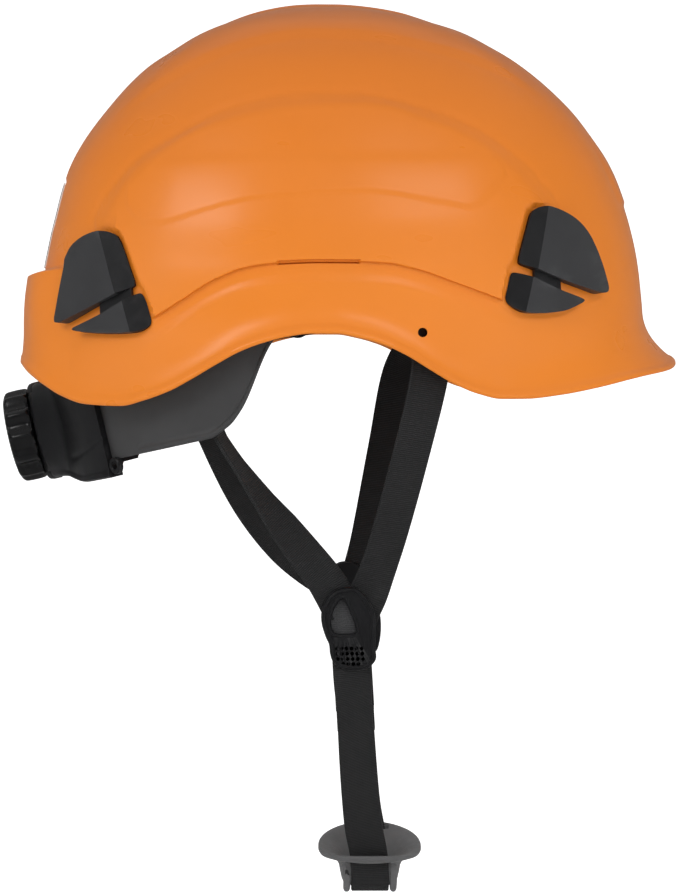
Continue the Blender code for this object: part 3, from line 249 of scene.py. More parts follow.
def shell_point(theta, v, inset=0.0):
    """Outer surface, v = 0 at the apex and 1 at the rim. theta is (n, 1), v is (n, k)."""
    rim_z = rim_height(fold(theta))
    rim_elevation = bisect(
        lambda e: dome_distance(theta, e) * np.sin(e) + CENTRE_Z > rim_z,
        np.full_like(rim_z, -0.6), np.full_like(rim_z, 0.4), 40)
    dome_rim = dome_distance(theta, rim_elevation) * np.cos(rim_elevation)
    flare = rim_radius(theta) - dome_rim
    theta, v = np.broadcast_arrays(theta, v)
    elevation = PI / 2 - (PI / 2 - rim_elevation) * v
    distance = dome_distance(theta, elevation)
    z = CENTRE_Z + distance * np.sin(elevation)
    radius = distance * np.cos(elevation)
    # a flared lip at the front and sides, a stepped ledge at the back
    sin = np.sin(theta)
    back = smooth(0.85, 0.96, sin)
    reach = 14 + 9 * smooth(0.3, 0.9, -sin)
    lip = flare * np.clip(1 - (z - rim_z) / reach, 0, 1) ** 2.2
    ledge = 6.4 * smooth(-72.4, -75.2, z) + (flare - 6.4) * smooth(-80, -111, z)
    # a low rib over the crown
    x = radius * np.cos(theta)
    z = z + 1.2 * (1 - smooth(9, 15, np.abs(x))) * smooth(52, 30, radius)
    radius = radius + lip * (1 - back) + ledge * back
    shrink = 1 - inset / np.maximum(distance, 1)
    return np.stack([radius * np.cos(theta) * shrink, radius * np.sin(theta) * shrink,
                     CENTRE_Z + (z - CENTRE_Z) * shrink], -1)


def shell_apex(inset=0.0):
    return shell_point(np.array([[0.0]]), np.array([[0.0]]), inset)[0, 0]


# the surface tabulated as distance from the centre, by plan angle and elevation
TABLE_THETA = np.linspace(-PI, PI, 361)
TABLE_ELEVATION = np.linspace(-0.5, PI / 2, 360)


def tabulate_surface():
    points = shell_point(TABLE_THETA[:, None], np.linspace(0, 1, 241)[None, :])
    flat = np.hypot(points[..., 0], points[..., 1])
    height = points[..., 2] - CENTRE_Z
    elevation, distance = np.arctan2(height, flat), np.hypot(flat, height)
    return np.array([np.interp(TABLE_ELEVATION, row[::-1], values[::-1])
                     for row, values in zip(elevation, distance)])


SURFACE_TABLE = tabulate_surface()


def shell_towards(theta, elevation):
    """Point of the surface in a direction from the centre, read from the table."""
    theta, elevation = np.broadcast_arrays(np.asarray(theta, float),
                                           np.asarray(elevation, float))
    u = np.mod(theta + PI, 2 * PI) / (2 * PI) * (len(TABLE_THETA) - 1)
    w = (elevation + 0.5) / (PI / 2 + 0.5) * (len(TABLE_ELEVATION) - 1)
    i = np.clip(u.astype(int), 0, len(TABLE_THETA) - 2)
    k = np.clip(w.astype(int), 0, len(TABLE_ELEVATION) - 2)
    du, dw = u - i, np.clip(w - k, 0, 1)
    table = SURFACE_TABLE
    distance = ((table[i, k] * (1 - du) + table[i + 1, k] * du) * (1 - dw)
                + (table[i, k + 1] * (1 - du) + table[i + 1, k + 1] * du) * dw)
    flat = distance * np.cos(elevation)
    return np.stack([flat * np.cos(theta), flat * np.sin(theta),
                     CENTRE_Z + distance * np.sin(elevation)], -1)


def outward(normals, points):
    """Unit normals, turned to point away from the centre."""
    normals = normals / np.maximum(np.linalg.norm(normals, axis=-1, keepdims=True), 1e-9)
    inward = np.sum(normals * (points - CENTRE), -1) < 0
    return np.where(inward[..., None], -normals, normals)


def shell_at(angle, height, side=1):
    """Points and outward normals at (plan angle in degrees, height); side mirrors them."""
    theta, height = np.broadcast_arrays(np.radians(np.asarray(angle, float)),
                                        np.asarray(height, float))
    elevation = bisect(lambda e: shell_towards(theta, e)[..., 2] > height,
                       np.full(theta.shape, -0.45), np.full(theta.shape, PI / 2), 26)
    points = shell_towards(theta, elevation)
    step = 0.02
    normals = outward(np.cross(
        shell_towards(theta + step, elevation) - shell_towards(theta - step, elevation),
        shell_towards(theta, elevation + step) - shell_towards(theta, elevation - step)),
        points)
    mirror = np.array([side, 1, 1])
    return points * mirror, normals * mirror


def lift_flanks(verts):
    """The moulded shell and what sits on it rise slightly toward the wearer's temples."""
    verts = np.array(verts, float)
    x, y, z = np.abs(verts[:, 0]), verts[:, 1].copy(), verts[:, 2].copy()
    verts[:, 2] += 0.0354 * x * smooth(18, 60, x)
    # crown settled a little lower, less so toward the brow and the back
    settle = 3.2 - 2.3 * smooth(-34, -74, y) - 0.9 * smooth(60, 85, y)
    verts[:, 2] -= settle * smooth(-72, -14, z)
    return verts


def band_point(side, alpha, radius, height):
    """Point of the nape band: alpha from the back round to the side, height along BAND_UP."""
    out = radius * np.cos(alpha)
    return np.stack(np.broadcast_arrays(
        side * radius * np.sin(alpha),
        BAND_CENTRE[1] + out * BAND_AXIS[1] + height * BAND_UP[1],
        BAND_CENTRE[2] + out * BAND_AXIS[2] + height * BAND_UP[2]), -1)


def axis_point(distance):
    return BAND_CENTRE + distance * BAND_AXIS


# ---------------------------------------------------------------- mesh tools
# A shape is a pair (verts, faces), in millimetres.
def grid_faces(rows, cols, close_rows=False, close_cols=False, base=0):
    i = np.arange(rows if close_rows else rows - 1)
    j = np.arange(cols if close_cols else cols - 1)
    i, j = np.meshgrid(i, j, indexing="ij")
    i2, j2 = (i + 1) % rows, (j + 1) % cols
    corners = [i * cols + j, i * cols + j2, i2 * cols + j2, i2 * cols + j]
    return (np.stack(corners, -1).reshape(-1, 4) + base).tolist()


def loft(rings, closed=False):
    """Skin over closed rings; the ends are capped, or joined to each other if closed."""
    rings = np.asarray(rings, float)
    rows, cols = rings.shape[:2]
    faces = grid_faces(rows, cols, close_rows=closed, close_cols=True)
    if not closed:
        faces.append(tuple(range(cols))[::-1])
        faces.append(tuple((rows - 1) * cols + i for i in range(cols)))
    return rings.reshape(-1, 3), faces


def capped_dome(grid, first, last):
    """Columns of points joined round, closed at each end by a fan to a single point."""
    columns, rows = grid.shape[:2]
    verts = np.concatenate([[first], grid.reshape(-1, 3), [last]])
    faces = grid_faces(columns, rows, close_rows=True, base=1)
    for i in range(columns):
        here, there = 1 + i * rows, 1 + (i + 1) % columns * rows
        faces.append((0, there, here))
        faces.append((len(verts) - 1, here + rows - 1, there + rows - 1))
    return verts, faces


def closed_sheet(top, bottom):
    """Two grids of points of equal size, joined round their border."""
    rows, cols = top.shape[:2]
    count = rows * cols
    faces = grid_faces(rows, cols) + [f[::-1] for f in grid_faces(rows, cols, base=count)]
    border = ([i * cols for i in range(rows)]
              + [(rows - 1) * cols + k for k in range(1, cols)]
              + [i * cols + cols - 1 for i in range(rows - 2, -1, -1)]
              + list(range(cols - 2, 0, -1)))
    for i, j in zip(border, border[1:] + border[:1]):
        faces.append((i, j, count + j, count + i))
    return np.concatenate([top.reshape(-1, 3), bottom.reshape(-1, 3)]), faces


def join_parts(parts):
    """Several shapes as one."""
    verts, faces, offset = [], [], 0
    for part_verts, part_faces in parts:
        verts.append(np.asarray(part_verts, float))
        faces += [tuple(i + offset for i in face) for face in part_faces]
        offset += len(part_verts)
    return np.concatenate(verts), faces


def disc(x, y, z, radius, count):
    """Ring of points facing sideways."""
    return [(x, y + radius * math.cos(b), z + radius * math.sin(b))
            for b in turn_angles(count)]


def new_object(name, shape):
    """Linked object of a shape, its normals facing out."""
    verts, faces = shape
    data = bpy.data.meshes.new(name)
    data.from_pydata((np.asarray(verts, float) * MM).tolist(), [], [tuple(f) for f in faces])
    bm = bmesh.new()
    bm.from_mesh(data)
    bmesh.ops.recalc_face_normals(bm, faces=bm.faces)
    bm.to_mesh(data)
    bm.free()
    ob = bpy.data.objects.new(name, data)
    bpy.context.scene.collection.objects.link(ob)
    return ob


def add_bevel(ob, width, segments, angle):
    bevel = ob.modifiers.new("edge", "BEVEL")
    bevel.width = width * MM
    bevel.segments = segments
    bevel.limit_method = "ANGLE"
    bevel.angle_limit = math.radians(angle)
    return bevel


def piece(name, shape, material, body, replaces=None, uv=None, sharp=38, bevel=None,
          second=None, raised=False):
    """One shown piece. uv is a pair per vertex, sharp an angle in degrees (0 for none),
    bevel (width, segments, angle), second (material, faces), raised lifts it with the shell."""
    verts, faces = shape
    ob = new_object(name, (lift_flanks(verts) if raised else verts, faces))
    data = ob.data
    if uv is not None:
        layer = data.uv_layers.new(name="UVMap")
        index = np.zeros(len(data.loops), int)
        data.loops.foreach_get("vertex_index", index)
        layer.data.foreach_set("uv", np.asarray(uv, np.float32)[index].ravel())
    data.shade_smooth()
    if sharp:
        data.set_sharp_from_angle(angle=math.radians(sharp))
    data.materials.append(material)
    if second:
        data.materials.append(second[0])
        for i in second[1]:
            data.polygons[i].material_index = 1
    if bevel:
        add_bevel(ob, *bevel).harden_normals = False
        # the bevel rounds the edges, so none stays marked sharp
        data.shade_smooth()
    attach(ob, body)
    if replaces:
        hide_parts(replaces)
    return ob


def carry(node, material, bevel=None):
    """A CAD node that stays: gets its finish and softened edges."""
    ob = frame["nodes"][node]
    ob.data.materials.clear()
    ob.data.materials.append(material)
    if bevel:
        weld = ob.modifiers.new("weld", "WELD")
        weld.merge_threshold = 0.00002
        add_bevel(ob, bevel, segments=2, angle=35)


def cut(target, tag, shape, solver="FAST"):
    """Cut a shape out of a piece; bake applies it."""
    tool = new_object("cutter_" + tag, shape)
    tool.data.materials.append(target.data.materials[0])
    boolean = target.modifiers.new(tag, "BOOLEAN")
    boolean.operation = "DIFFERENCE"
    boolean.solver = solver
    boolean.object = tool


def bake(ob):
    """Apply a piece's cuts and remove the cutters."""
    bpy.context.view_layer.update()
    depsgraph = bpy.context.evaluated_depsgraph_get()
    data = bpy.data.meshes.new_from_object(ob.evaluated_get(depsgraph))
    ob.modifiers.clear()
    ob.data = data
    for tool in [o for o in bpy.data.objects if o.name.startswith("cutter_")]:
        bpy.data.objects.remove(tool)


# ---------------------------------------------------------------- shader tools
class Nodes:
    """Short ways to add nodes to a tree; each returns the new node's output."""

    def __init__(self, tree):
        self.tree = tree

    def node(self, kind, **settings):
        made = self.tree.nodes.new(kind)
        for key, value in settings.items():
            setattr(made, key, value)
        return made

    def feed(self, socket, value):
        """Link a socket, or set a value; a colour is three numbers."""
        if isinstance(value, bpy.types.NodeSocket):
            self.tree.links.new(value, socket)
        elif socket.type == "RGBA":
            socket.default_value = (*value, 1)
        else:
            socket.default_value = value

    def math(self, operation, first, second=None):
        made = self.node("ShaderNodeMath", operation=operation)
        self.feed(made.inputs[0], first)
        if second is not None:
            self.feed(made.inputs[1], second)
        return made.outputs[0]

    def noise(self, vector, scale, detail=3.0, roughness=0.55):
        made = self.node("ShaderNodeTexNoise")
        self.feed(made.inputs["Vector"], vector)
        made.inputs["Scale"].default_value = scale
        made.inputs["Detail"].default_value = detail
        made.inputs["Roughness"].default_value = roughness
        return made.outputs["Fac"]

    def stretch(self, vector, scale):
        made = self.node("ShaderNodeMapping")
        self.feed(made.inputs["Vector"], vector)
        made.inputs["Scale"].default_value = scale
        return made.outputs[0]

    def remap(self, value, source, target=(0, 1)):
        made = self.node("ShaderNodeMapRange")
        for i, item in enumerate((value, *source, *target)):
            self.feed(made.inputs[i], item)
        return made.outputs[0]

    def mix(self, factor, first, second):
        made = self.node("ShaderNodeMix", data_type="RGBA")
        self.feed(made.inputs[0], factor)
        self.feed(made.inputs[6], first)
        self.feed(made.inputs[7], second)
        return made.outputs[2]

    def bump(self, height, distance, strength, normal=None):
        made = self.node("ShaderNodeBump")
        made.inputs["Strength"].default_value = strength
        made.inputs["Distance"].default_value = distance
        self.feed(made.inputs["Height"], height)
        if normal is not None:
            self.feed(made.inputs["Normal"], normal)
        return made.outputs[0]

    def separate(self, vector):
        made = self.node("ShaderNodeSeparateXYZ")
        self.feed(made.inputs[0], vector)
        return made.outputs

    def voronoi(self, vector, feature, scale):
        made = self.node("ShaderNodeTexVoronoi", feature=feature)
        self.feed(made.inputs["Vector"], vector)
        made.inputs["Scale"].default_value = scale
        return made


class Shader(Nodes):
    """A new material round its Principled node."""

    def __init__(self, name):
        self.material = bpy.data.materials.new(name)
        self.material.use_nodes = True
        super().__init__(self.material.node_tree)
        coordinates = self.node("ShaderNodeTexCoord")
        self.place = coordinates.outputs["Object"]
        self.uv = coordinates.outputs["UV"]

    def finish(self, inputs):
        principled = self.tree.nodes["Principled BSDF"]
        for name, value in inputs.items():
            self.feed(principled.inputs[name], value)
        return self.material


def shade(rgb, factor):
    return tuple(c * factor for c in rgb)


# ---------------------------------------------------------------- materials
def plastic(name, rgb, rough, grain=2600.0, depth=0.00004, wear=0.25, coat=0.0, specular=0.5):
    """Moulded plastic: slow colour drift, fine mould grain, uneven gloss, paler worn edges."""
    s = Shader(name)
    slow = s.noise(s.place, scale=38.0)
    middle = s.noise(s.place, scale=240.0, detail=4)
    fine = s.noise(s.place, scale=grain, roughness=0.6)
    colour = s.mix(s.remap(slow, (0.32, 0.68)), shade(rgb, 1 - 0.08), shade(rgb, 1 + 0.08))
    pointiness = s.node("ShaderNodeNewGeometry").outputs["Pointiness"]
    edge = s.math("MULTIPLY", s.remap(pointiness, (0.53, 0.62)),
                  s.remap(middle, (0.42, 0.62), (0.25, 1.0)))
    worn = tuple(c + (0.55 - c) * 0.35 if c < 0.3 else c * 1.12 + 0.02 for c in rgb)
    roughness = s.math("ADD", s.remap(middle, (0.3, 0.7), (rough - 0.05, rough + 0.06)),
                       s.remap(fine, (0.3, 0.7), (-0.02, 0.03)))
    return s.finish({
        "Base Color": s.mix(s.math("MULTIPLY", edge, wear), colour, worn),
        "Roughness": s.math("ADD", roughness, s.math("MULTIPLY", edge, 0.08)),
        "Normal": s.bump(fine, distance=depth, strength=0.8),
        "Coat Weight": coat, "Coat Roughness": 0.12, "Specular IOR Level": specular})


def shell_gloss(name, rgb):
    """Smooth moulded shell: slow drift, painted shade on the crown, uneven polish, faint flow
    ripple and a soft coat.
    """
    s = Shader(name)
    slow = s.noise(s.place, scale=14.0, detail=2)
    flow = s.noise(s.stretch(s.place, (1.0, 0.35, 1.0)), scale=55.0, detail=2)
    colour = s.mix(s.remap(slow, (0.3, 0.7)), shade(rgb, 0.975), shade(rgb, 1.02))
    # painted shade: the crown is coloured darker than the flanks, more so towards the top
    crown = s.remap(s.separate(s.place)[2], (-0.085, 0.02))
    painted_shade_orange = (rgb[0] * 0.80, rgb[1] * 0.74, rgb[2] * 0.74)
    return s.finish({
        "Base Color": s.mix(s.math("MULTIPLY", crown, 0.85), colour, painted_shade_orange),
        "Roughness": s.remap(flow, (0.3, 0.7), (0.27, 0.34)),
        "Normal": s.bump(flow, distance=0.00003, strength=0.5),
        "Coat Weight": 0.06, "Coat Roughness": 0.15, "Specular IOR Level": 0.32})


def webbing(name, rgb):
    """Grosgrain nylon: cross ribs wrapped by fine lengthwise threads.
    UV is in millimetres (across, along)."""
    thread_pitch = 0.42
    s = Shader(name)
    across, along, _ = s.separate(s.uv)
    rib = s.math("ABSOLUTE", s.math("SINE", s.math("MULTIPLY", along, PI / RIB_PITCH)))
    # threads of every other row are shifted by half a pitch
    row = s.math("FLOOR", s.math("MULTIPLY", along, 1 / RIB_PITCH))
    shift = s.math("MULTIPLY", s.math("MODULO", row, 2.0), PI / 2)
    phase = s.math("ADD", s.math("MULTIPLY", across, PI / thread_pitch), shift)
    thread = s.math("ABSOLUTE", s.math("SINE", phase))
    height = s.math("ADD", s.math("MULTIPLY", rib, 0.6), s.math("MULTIPLY", thread, 0.4))
    streak = s.noise(s.stretch(s.uv, (2.2, 0.05, 1.0)), scale=1.0, detail=4)
    blot = s.noise(s.place, scale=60.0)
    fuzz = s.noise(s.place, scale=5200.0, detail=2)
    # painted shade in the rib valleys and a painted highlight on the rib crests: the colour
    # follows the weave's height
    colour = s.mix(s.remap(height, (0.15, 0.95)), shade(rgb, 0.28), shade(rgb, 1.65))
    colour = s.mix(s.math("MULTIPLY", s.remap(streak, (0.4, 0.7)), 0.3), colour,
                   shade(rgb, 1.7))
    colour = s.mix(s.math("MULTIPLY", s.remap(blot, (0.4, 0.7)), 0.25), colour,
                   shade(rgb, 0.75))
    return s.finish({
        "Base Color": colour,
        "Roughness": s.remap(height, (0, 1), (0.80, 0.60)),
        "Normal": s.bump(height, distance=0.00010, strength=0.8,
                         normal=s.bump(fuzz, distance=0.00003, strength=0.6)),
        "Sheen Weight": 0.07, "Sheen Roughness": 0.4, "Specular IOR Level": 0.18})


def textile(name, rgb):
    """Spacer fabric and padding: open knit cells, fibre fuzz, soft sheen."""
    s = Shader(name)
    cells = s.voronoi(s.place, "F1", scale=620.0)
    hole = s.remap(cells.outputs["Distance"], (0.1, 0.55), (1, 0))
    slow = s.noise(s.place, scale=45.0)
    fuzz = s.noise(s.place, scale=4800.0)
    # painted shade: the open cells are coloured darker, the strands between them lighter
    colour = s.mix(hole, shade(rgb, 1.6), shade(rgb, 0.5))
    pale = s.math("MULTIPLY", s.remap(slow, (0.35, 0.65)), 0.3)
    return s.finish({
        "Base Color": s.mix(pale, colour, shade(rgb, 1.9)),
        "Roughness": s.remap(slow, (0.3, 0.7), (0.79, 0.93)),
        "Normal": s.bump(hole, distance=-0.00022, strength=0.9,
                         normal=s.bump(fuzz, distance=0.00005, strength=0.7)),
        "Sheen Weight": 0.6, "Specular IOR Level": 0.2})


def bead_foam(name, rgb):
    """Expanded bead foam: pressed polygonal beads with darker joints."""
    bead_scale = 300.0
    s = Shader(name)
    joints = s.voronoi(s.place, "DISTANCE_TO_EDGE", scale=bead_scale)
    edge = s.remap(joints.outputs["Distance"], (0.0, 0.09))
    beads = s.voronoi(s.place, "F1", scale=bead_scale)
    split = s.node("ShaderNodeSeparateColor")
    s.feed(split.inputs[0], beads.outputs["Color"])
    tone = split.outputs[0]
    grain = s.noise(s.place, scale=2600.0, detail=2)
    return s.finish({
        "Base Color": s.mix(edge, shade(rgb, 0.45),
                            s.mix(tone, shade(rgb, 0.85), shade(rgb, 1.5))),
        "Roughness": s.remap(tone, (0, 1), (0.62, 0.85)),
        "Normal": s.bump(edge, distance=0.0003, strength=0.8,
                         normal=s.bump(grain, distance=0.00005, strength=0.6))})


def metal(name, rgb):
    """Drawn metal: fine streaks and a slow change of tone."""
    s = Shader(name)
    streak = s.noise(s.stretch(s.place, (1, 1, 9)), scale=900.0, detail=4)
    slow = s.noise(s.place, scale=120.0)
    return s.finish({
        "Base Color": s.mix(slow, shade(rgb, 0.8), shade(rgb, 1.15)),
        "Roughness": s.remap(streak, (0.3, 0.7), (0.22, 0.42)),
        "Normal": s.bump(streak, distance=0.00002, strength=0.7),
        "Metallic": 1.0})


def retro(name):
    """Retroreflective tape: fine sealed cells in silver, with a white border (UV 0..1)."""
    s = Shader(name)
    cells = s.voronoi(s.place, "DISTANCE_TO_EDGE", scale=420.0)
    cells.inputs["Randomness"].default_value = 0.35
    cell = s.remap(cells.outputs["Distance"], (0.02, 0.12))
    across, along, _ = s.separate(s.uv)
    to_edge = [s.math("MINIMUM", part, s.math("SUBTRACT", 1.0, part))
               for part in (across, along)]
    border = s.remap(s.math("MINIMUM", *to_edge), (0.025, 0.035), (1, 0))
    slow = s.noise(s.place, scale=90.0)
    silver = s.mix(slow, (0.44, 0.46, 0.48), (0.56, 0.58, 0.6))
    colour = s.mix(cell, (0.66, 0.67, 0.68), silver)
    return s.finish({
        "Base Color": s.mix(border, colour, (0.86, 0.86, 0.85)),
        "Metallic": s.math("MULTIPLY", s.math("SUBTRACT", 1.0, border), 0.45),
        "Roughness": s.remap(cell, (0, 1), (0.45, 0.24)),
        "Normal": s.bump(cell, distance=0.00006, strength=0.8),
        "Coat Weight": 0.4})


def rubber(name, rgb):
    """Soft rubber: mottled tone, fine grain over shallow unevenness."""
    s = Shader(name)
    slow = s.noise(s.place, scale=55.0)
    middle = s.noise(s.place, scale=420.0)
    fine = s.noise(s.place, scale=3400.0)
    colour = s.mix(s.remap(slow, (0.3, 0.7)), shade(rgb, 0.85), shade(rgb, 1.15))
    pale = s.math("MULTIPLY", s.remap(middle, (0.55, 0.72)), 0.25)
    return s.finish({
        "Base Color": s.mix(pale, colour, shade(rgb, 1.5)),
        "Roughness": s.remap(middle, (0.3, 0.7), (0.49, 0.65)),
        "Normal": s.bump(fine, distance=0.00005, strength=0.8,
                         normal=s.bump(middle, distance=0.00006, strength=0.4)),
        "Sheen Weight": 0.15})


ORANGE = shell_gloss("orange_shell", (0.81, 0.229, 0.021))
CLIP = plastic("clip_plastic", (0.040, 0.040, 0.042), rough=0.44, grain=3000.0, wear=0.07,
               specular=0.22)
# painted shade: a darker copy of the clip plastic for the sloping facets
CLIP_FACET_SHADE = plastic("clip_plastic_facet_shade", (0.007, 0.007, 0.008), rough=0.5, grain=3000.0,
                    wear=0.05, specular=0.25)
CLIP_WEB = plastic("clip_web_plastic", (0.006, 0.006, 0.007), rough=0.45, wear=0.05)
PANEL = plastic("band_plastic", (0.053, 0.053, 0.054), rough=0.42, grain=2400.0,
                depth=0.00003, wear=0.10, specular=0.22)
BLACK = plastic("black_plastic", (0.008, 0.008, 0.009), rough=0.34, depth=0.00003, wear=0.10,
                specular=0.22)
GLOSS = plastic("gloss_black_plastic", (0.0035, 0.0035, 0.004), rough=0.22, grain=1800.0,
                depth=0.00002, wear=0.12, coat=0.16, specular=0.3)
PINION = plastic("pinion_plastic", (0.35, 0.35, 0.36), rough=0.4)
FOAM = bead_foam("foam_black", (0.022, 0.022, 0.024))
PAD = textile("padding", (0.020, 0.020, 0.022))
WEBBING = webbing("webbing_front", (0.018, 0.018, 0.0185))
WEBBING_LIGHT = webbing("webbing_window", (0.050, 0.050, 0.052))
STEEL = metal("steel", (0.56, 0.57, 0.58))
RUBBER = rubber("soft_grey_rubber", (0.104, 0.104, 0.106))
TAPE = retro("retro_tape")

# ================================================================ shell
# feature lines on the shell: (plan angle, height)
RIDGE = [       # along the crown, rear to front
    (60, -6), (52, 4), (46.4, 9.3), (40.7, 13.5), (33, 17.8), (20.3, 21.8), (7.5, 23.5),
    (-4, 23), (-17.8, 22.2), (-30.5, 19.5), (-41.3, 15.3), (-47, 12.0), (-56, 5), (-64, -4)]
ARC_OUT = [     # foot of the side panel's slope, rear to front
    (56, -54.4), (54.4, -46.8), (51.3, -38.1), (47.3, -29), (42.7, -22.8), (36.6, -16.2),
    (29.6, -10.3), (22, -6.5), (13.5, -3.7), (5.5, -3), (-3.1, -3), (-11.6, -3.5),
    (-18.8, -5.7), (-25.9, -8.9), (-32.3, -13.2), (-38.3, -19.1), (-43, -26.7),
    (-46.7, -33.4), (-49.2, -40.2), (-51.4, -44.9)]
ARC_IN = [      # top of that slope, rear to front
    (49.4, -51.4), (47.6, -40.5), (44, -32.6), (39, -24.8), (33.5, -18.9), (26.2, -15.1),
    (17.4, -12.1), (8, -10.2), (-4.3, -8.9), (-16.5, -9.9), (-24.4, -14.8), (-31.3, -20),
    (-38.9, -29.9), (-41.6, -35.9), (-44.1, -43.1), (-45.9, -47)]
LEDGE = [       # where the panel starts to step back, front to rear
    (-90, -93), (-60, -92.5), (-45, -91), (-38.1, -89.8), (-32.9, -86), (-27.2, -82.1),
    (-20.8, -77.9), (-14.3, -75.2), (-7.1, -74.5), (2.1, -74.4), (11.5, -75), (14.6, -75.5),
    (20.2, -77.4), (26.2, -82.1), (32.5, -89.5), (39.5, -97.7), (45, -98), (52, -90),
    (60, -76), (66, -74), (90, -74)]
LEDGE_LOW = [   # where that step ends, front to rear
    (-90, -96), (-60, -95.5), (-45, -93), (-38.1, -91.0), (-32.3, -87.9), (-24.6, -82.8),
    (-16.5, -78.5), (-8.2, -77.3), (2.1, -77.3), (10.8, -78.7), (17.9, -81.3),
    (26.1, -87.0), (32.5, -93.0), (39.5, -99.2), (45, -101), (60, -101), (90, -101)]
PAD_EDGE = [    # lower edge of the raised pad in the panel, rear to front
    (47.1, -50.8), (43.7, -56.8), (37.7, -58.4), (27.3, -52.8), (18.8, -49), (7, -47.1),
    (-2.6, -45.9), (-11.5, -45.9), (-20.2, -48.2), (-28.3, -51.6), (-33.3, -52.3),
    (-37.1, -46.4), (-41, -39.2), (-41, -35.1), (-39.1, -29)]
ledge_height, ledge_low_height = pchip(LEDGE), pchip(LEDGE_LOW)
PANEL_RISE = 1.9
SLIT_FRONT, SLIT_REAR = -7.1, 11.5      # plan angles of the slit's ends

# Lamp clips, as (plan angle, height) outlines on one side: an upper and a lower wedge with a
# web between. Each wedge slopes away beyond its crease, towards the side panel.
# facet_side is the side of the crease that slopes.
REAR_UPPER = [
    (61.5, -96.8), (61.0, -87.0), (60.6, -80.0), (60.0, -72.0), (58.8, -66.8), (56.4, -63.3),
    (53.6, -61.4), (51.0, -60.8), (48.9, -61.7), (47.5, -64.2), (45.5, -71.2), (43.9, -77.3),
    (42.5, -82.8), (42.9, -83.9), (45.8, -86.2), (52.4, -91.7), (59.0, -96.8), (60.6, -97.5)]
REAR_LOWER = [
    (42.0, -86.3), (41.2, -86.2), (40.4, -88.8), (39.5, -93.5), (38.8, -98.2),
    (39.5, -100.2), (41.2, -101.9), (44.9, -102.4), (49.6, -102.2), (55.6, -101.2),
    (56.1, -100.2), (49.8, -94.7), (44.6, -89.4)]
FRONT_UPPER = [
    (-45.0, -53.6), (-46.3, -52.0), (-48.0, -51.6), (-50.7, -52.9), (-53.2, -55.1),
    (-55.2, -58.2), (-56.8, -62.8), (-57.9, -68.7), (-58.7, -74.6), (-59.3, -80.9),
    (-59.5, -84.2), (-58.9, -85.6), (-57.5, -85.5), (-50.6, -81.6), (-44.2, -76.9),
    (-41.5, -75.2), (-41.0, -73.9), (-42.0, -68.3), (-43.5, -60.6)]
FRONT_LOWER = [
    (-39.5, -78.3), (-40.4, -78.1), (-43.3, -80.1), (-48.8, -84.9), (-53.4, -88.1),
    (-53.8, -89.1), (-52.0, -91.0), (-49.9, -93.0), (-46.5, -94.1), (-41.8, -94.3),
    (-39.8, -92.7), (-38.0, -89.6), (-38.5, -85.5)]
CLIPS = {
    "rear": dict(
        upper=REAR_UPPER, lower=REAR_LOWER, facet_side=-1,
        web=[(43.4, -83.2), (42.8, -91.0), (50.2, -97.0), (50.6, -89.4)],
        upper_crease=((51.1, -63.8), (46.0, -86.4)),
        lower_crease=((44.6, -89.4), (42.5, -102.0)),
        # outline of the whole clip, for the pocket it sits in
        hull=REAR_UPPER[:13] + REAR_LOWER[1:2] + REAR_LOWER[3:10] + REAR_UPPER[-1:]),
    "front": dict(
        upper=FRONT_UPPER, lower=FRONT_LOWER, facet_side=1,
        web=[(-44.2, -75.4), (-49.6, -79.6), (-49.6, -87.2), (-44.0, -82.2)],
        upper_crease=((-47.8, -53.6), (-44.2, -77.2)),
        lower_crease=((-43.3, -80.1), (-41.4, -94.3)),
        hull=(FRONT_UPPER[:12] + FRONT_LOWER[5:6] + FRONT_LOWER[7:12] + FRONT_LOWER[:1]
              + FRONT_UPPER[16:])),
}
CHART = np.array([1.745, 1.0])          # mm for one degree and for one mm, at the shell's side


def inside(outline, angle, z):
    """Crossing-number test in (plan angle, height)."""
    result = np.zeros(angle.shape, bool)
    corners = np.array(outline, float)
    for (a0, z0), (a1, z1) in zip(corners, np.roll(corners, -1, 0)):
        if z0 != z1:
            result ^= ((z0 > z) != (z1 > z)) & (angle < (a1 - a0) * (z - z0) / (z1 - z0) + a0)
    return result


def distance_to(chain, points):
    """Distance from points to a chain of straight segments."""
    best = np.full(points.shape[:-1], 1e9)
    for start, end in zip(chain[:-1], chain[1:]):
        along = end - start
        t = np.clip(((points - start) @ along) / (along @ along), 0, 1)
        gap = points - (start + t[..., None] * along)
        best = np.minimum(best, np.sum(gap * gap, -1))
    return np.sqrt(best)


def distance_to_line(line, points):
    """Distance in space from points to a feature line laid on the shell."""
    return distance_to(curve_through(shell_at(*zip(*line))[0], 5), points)


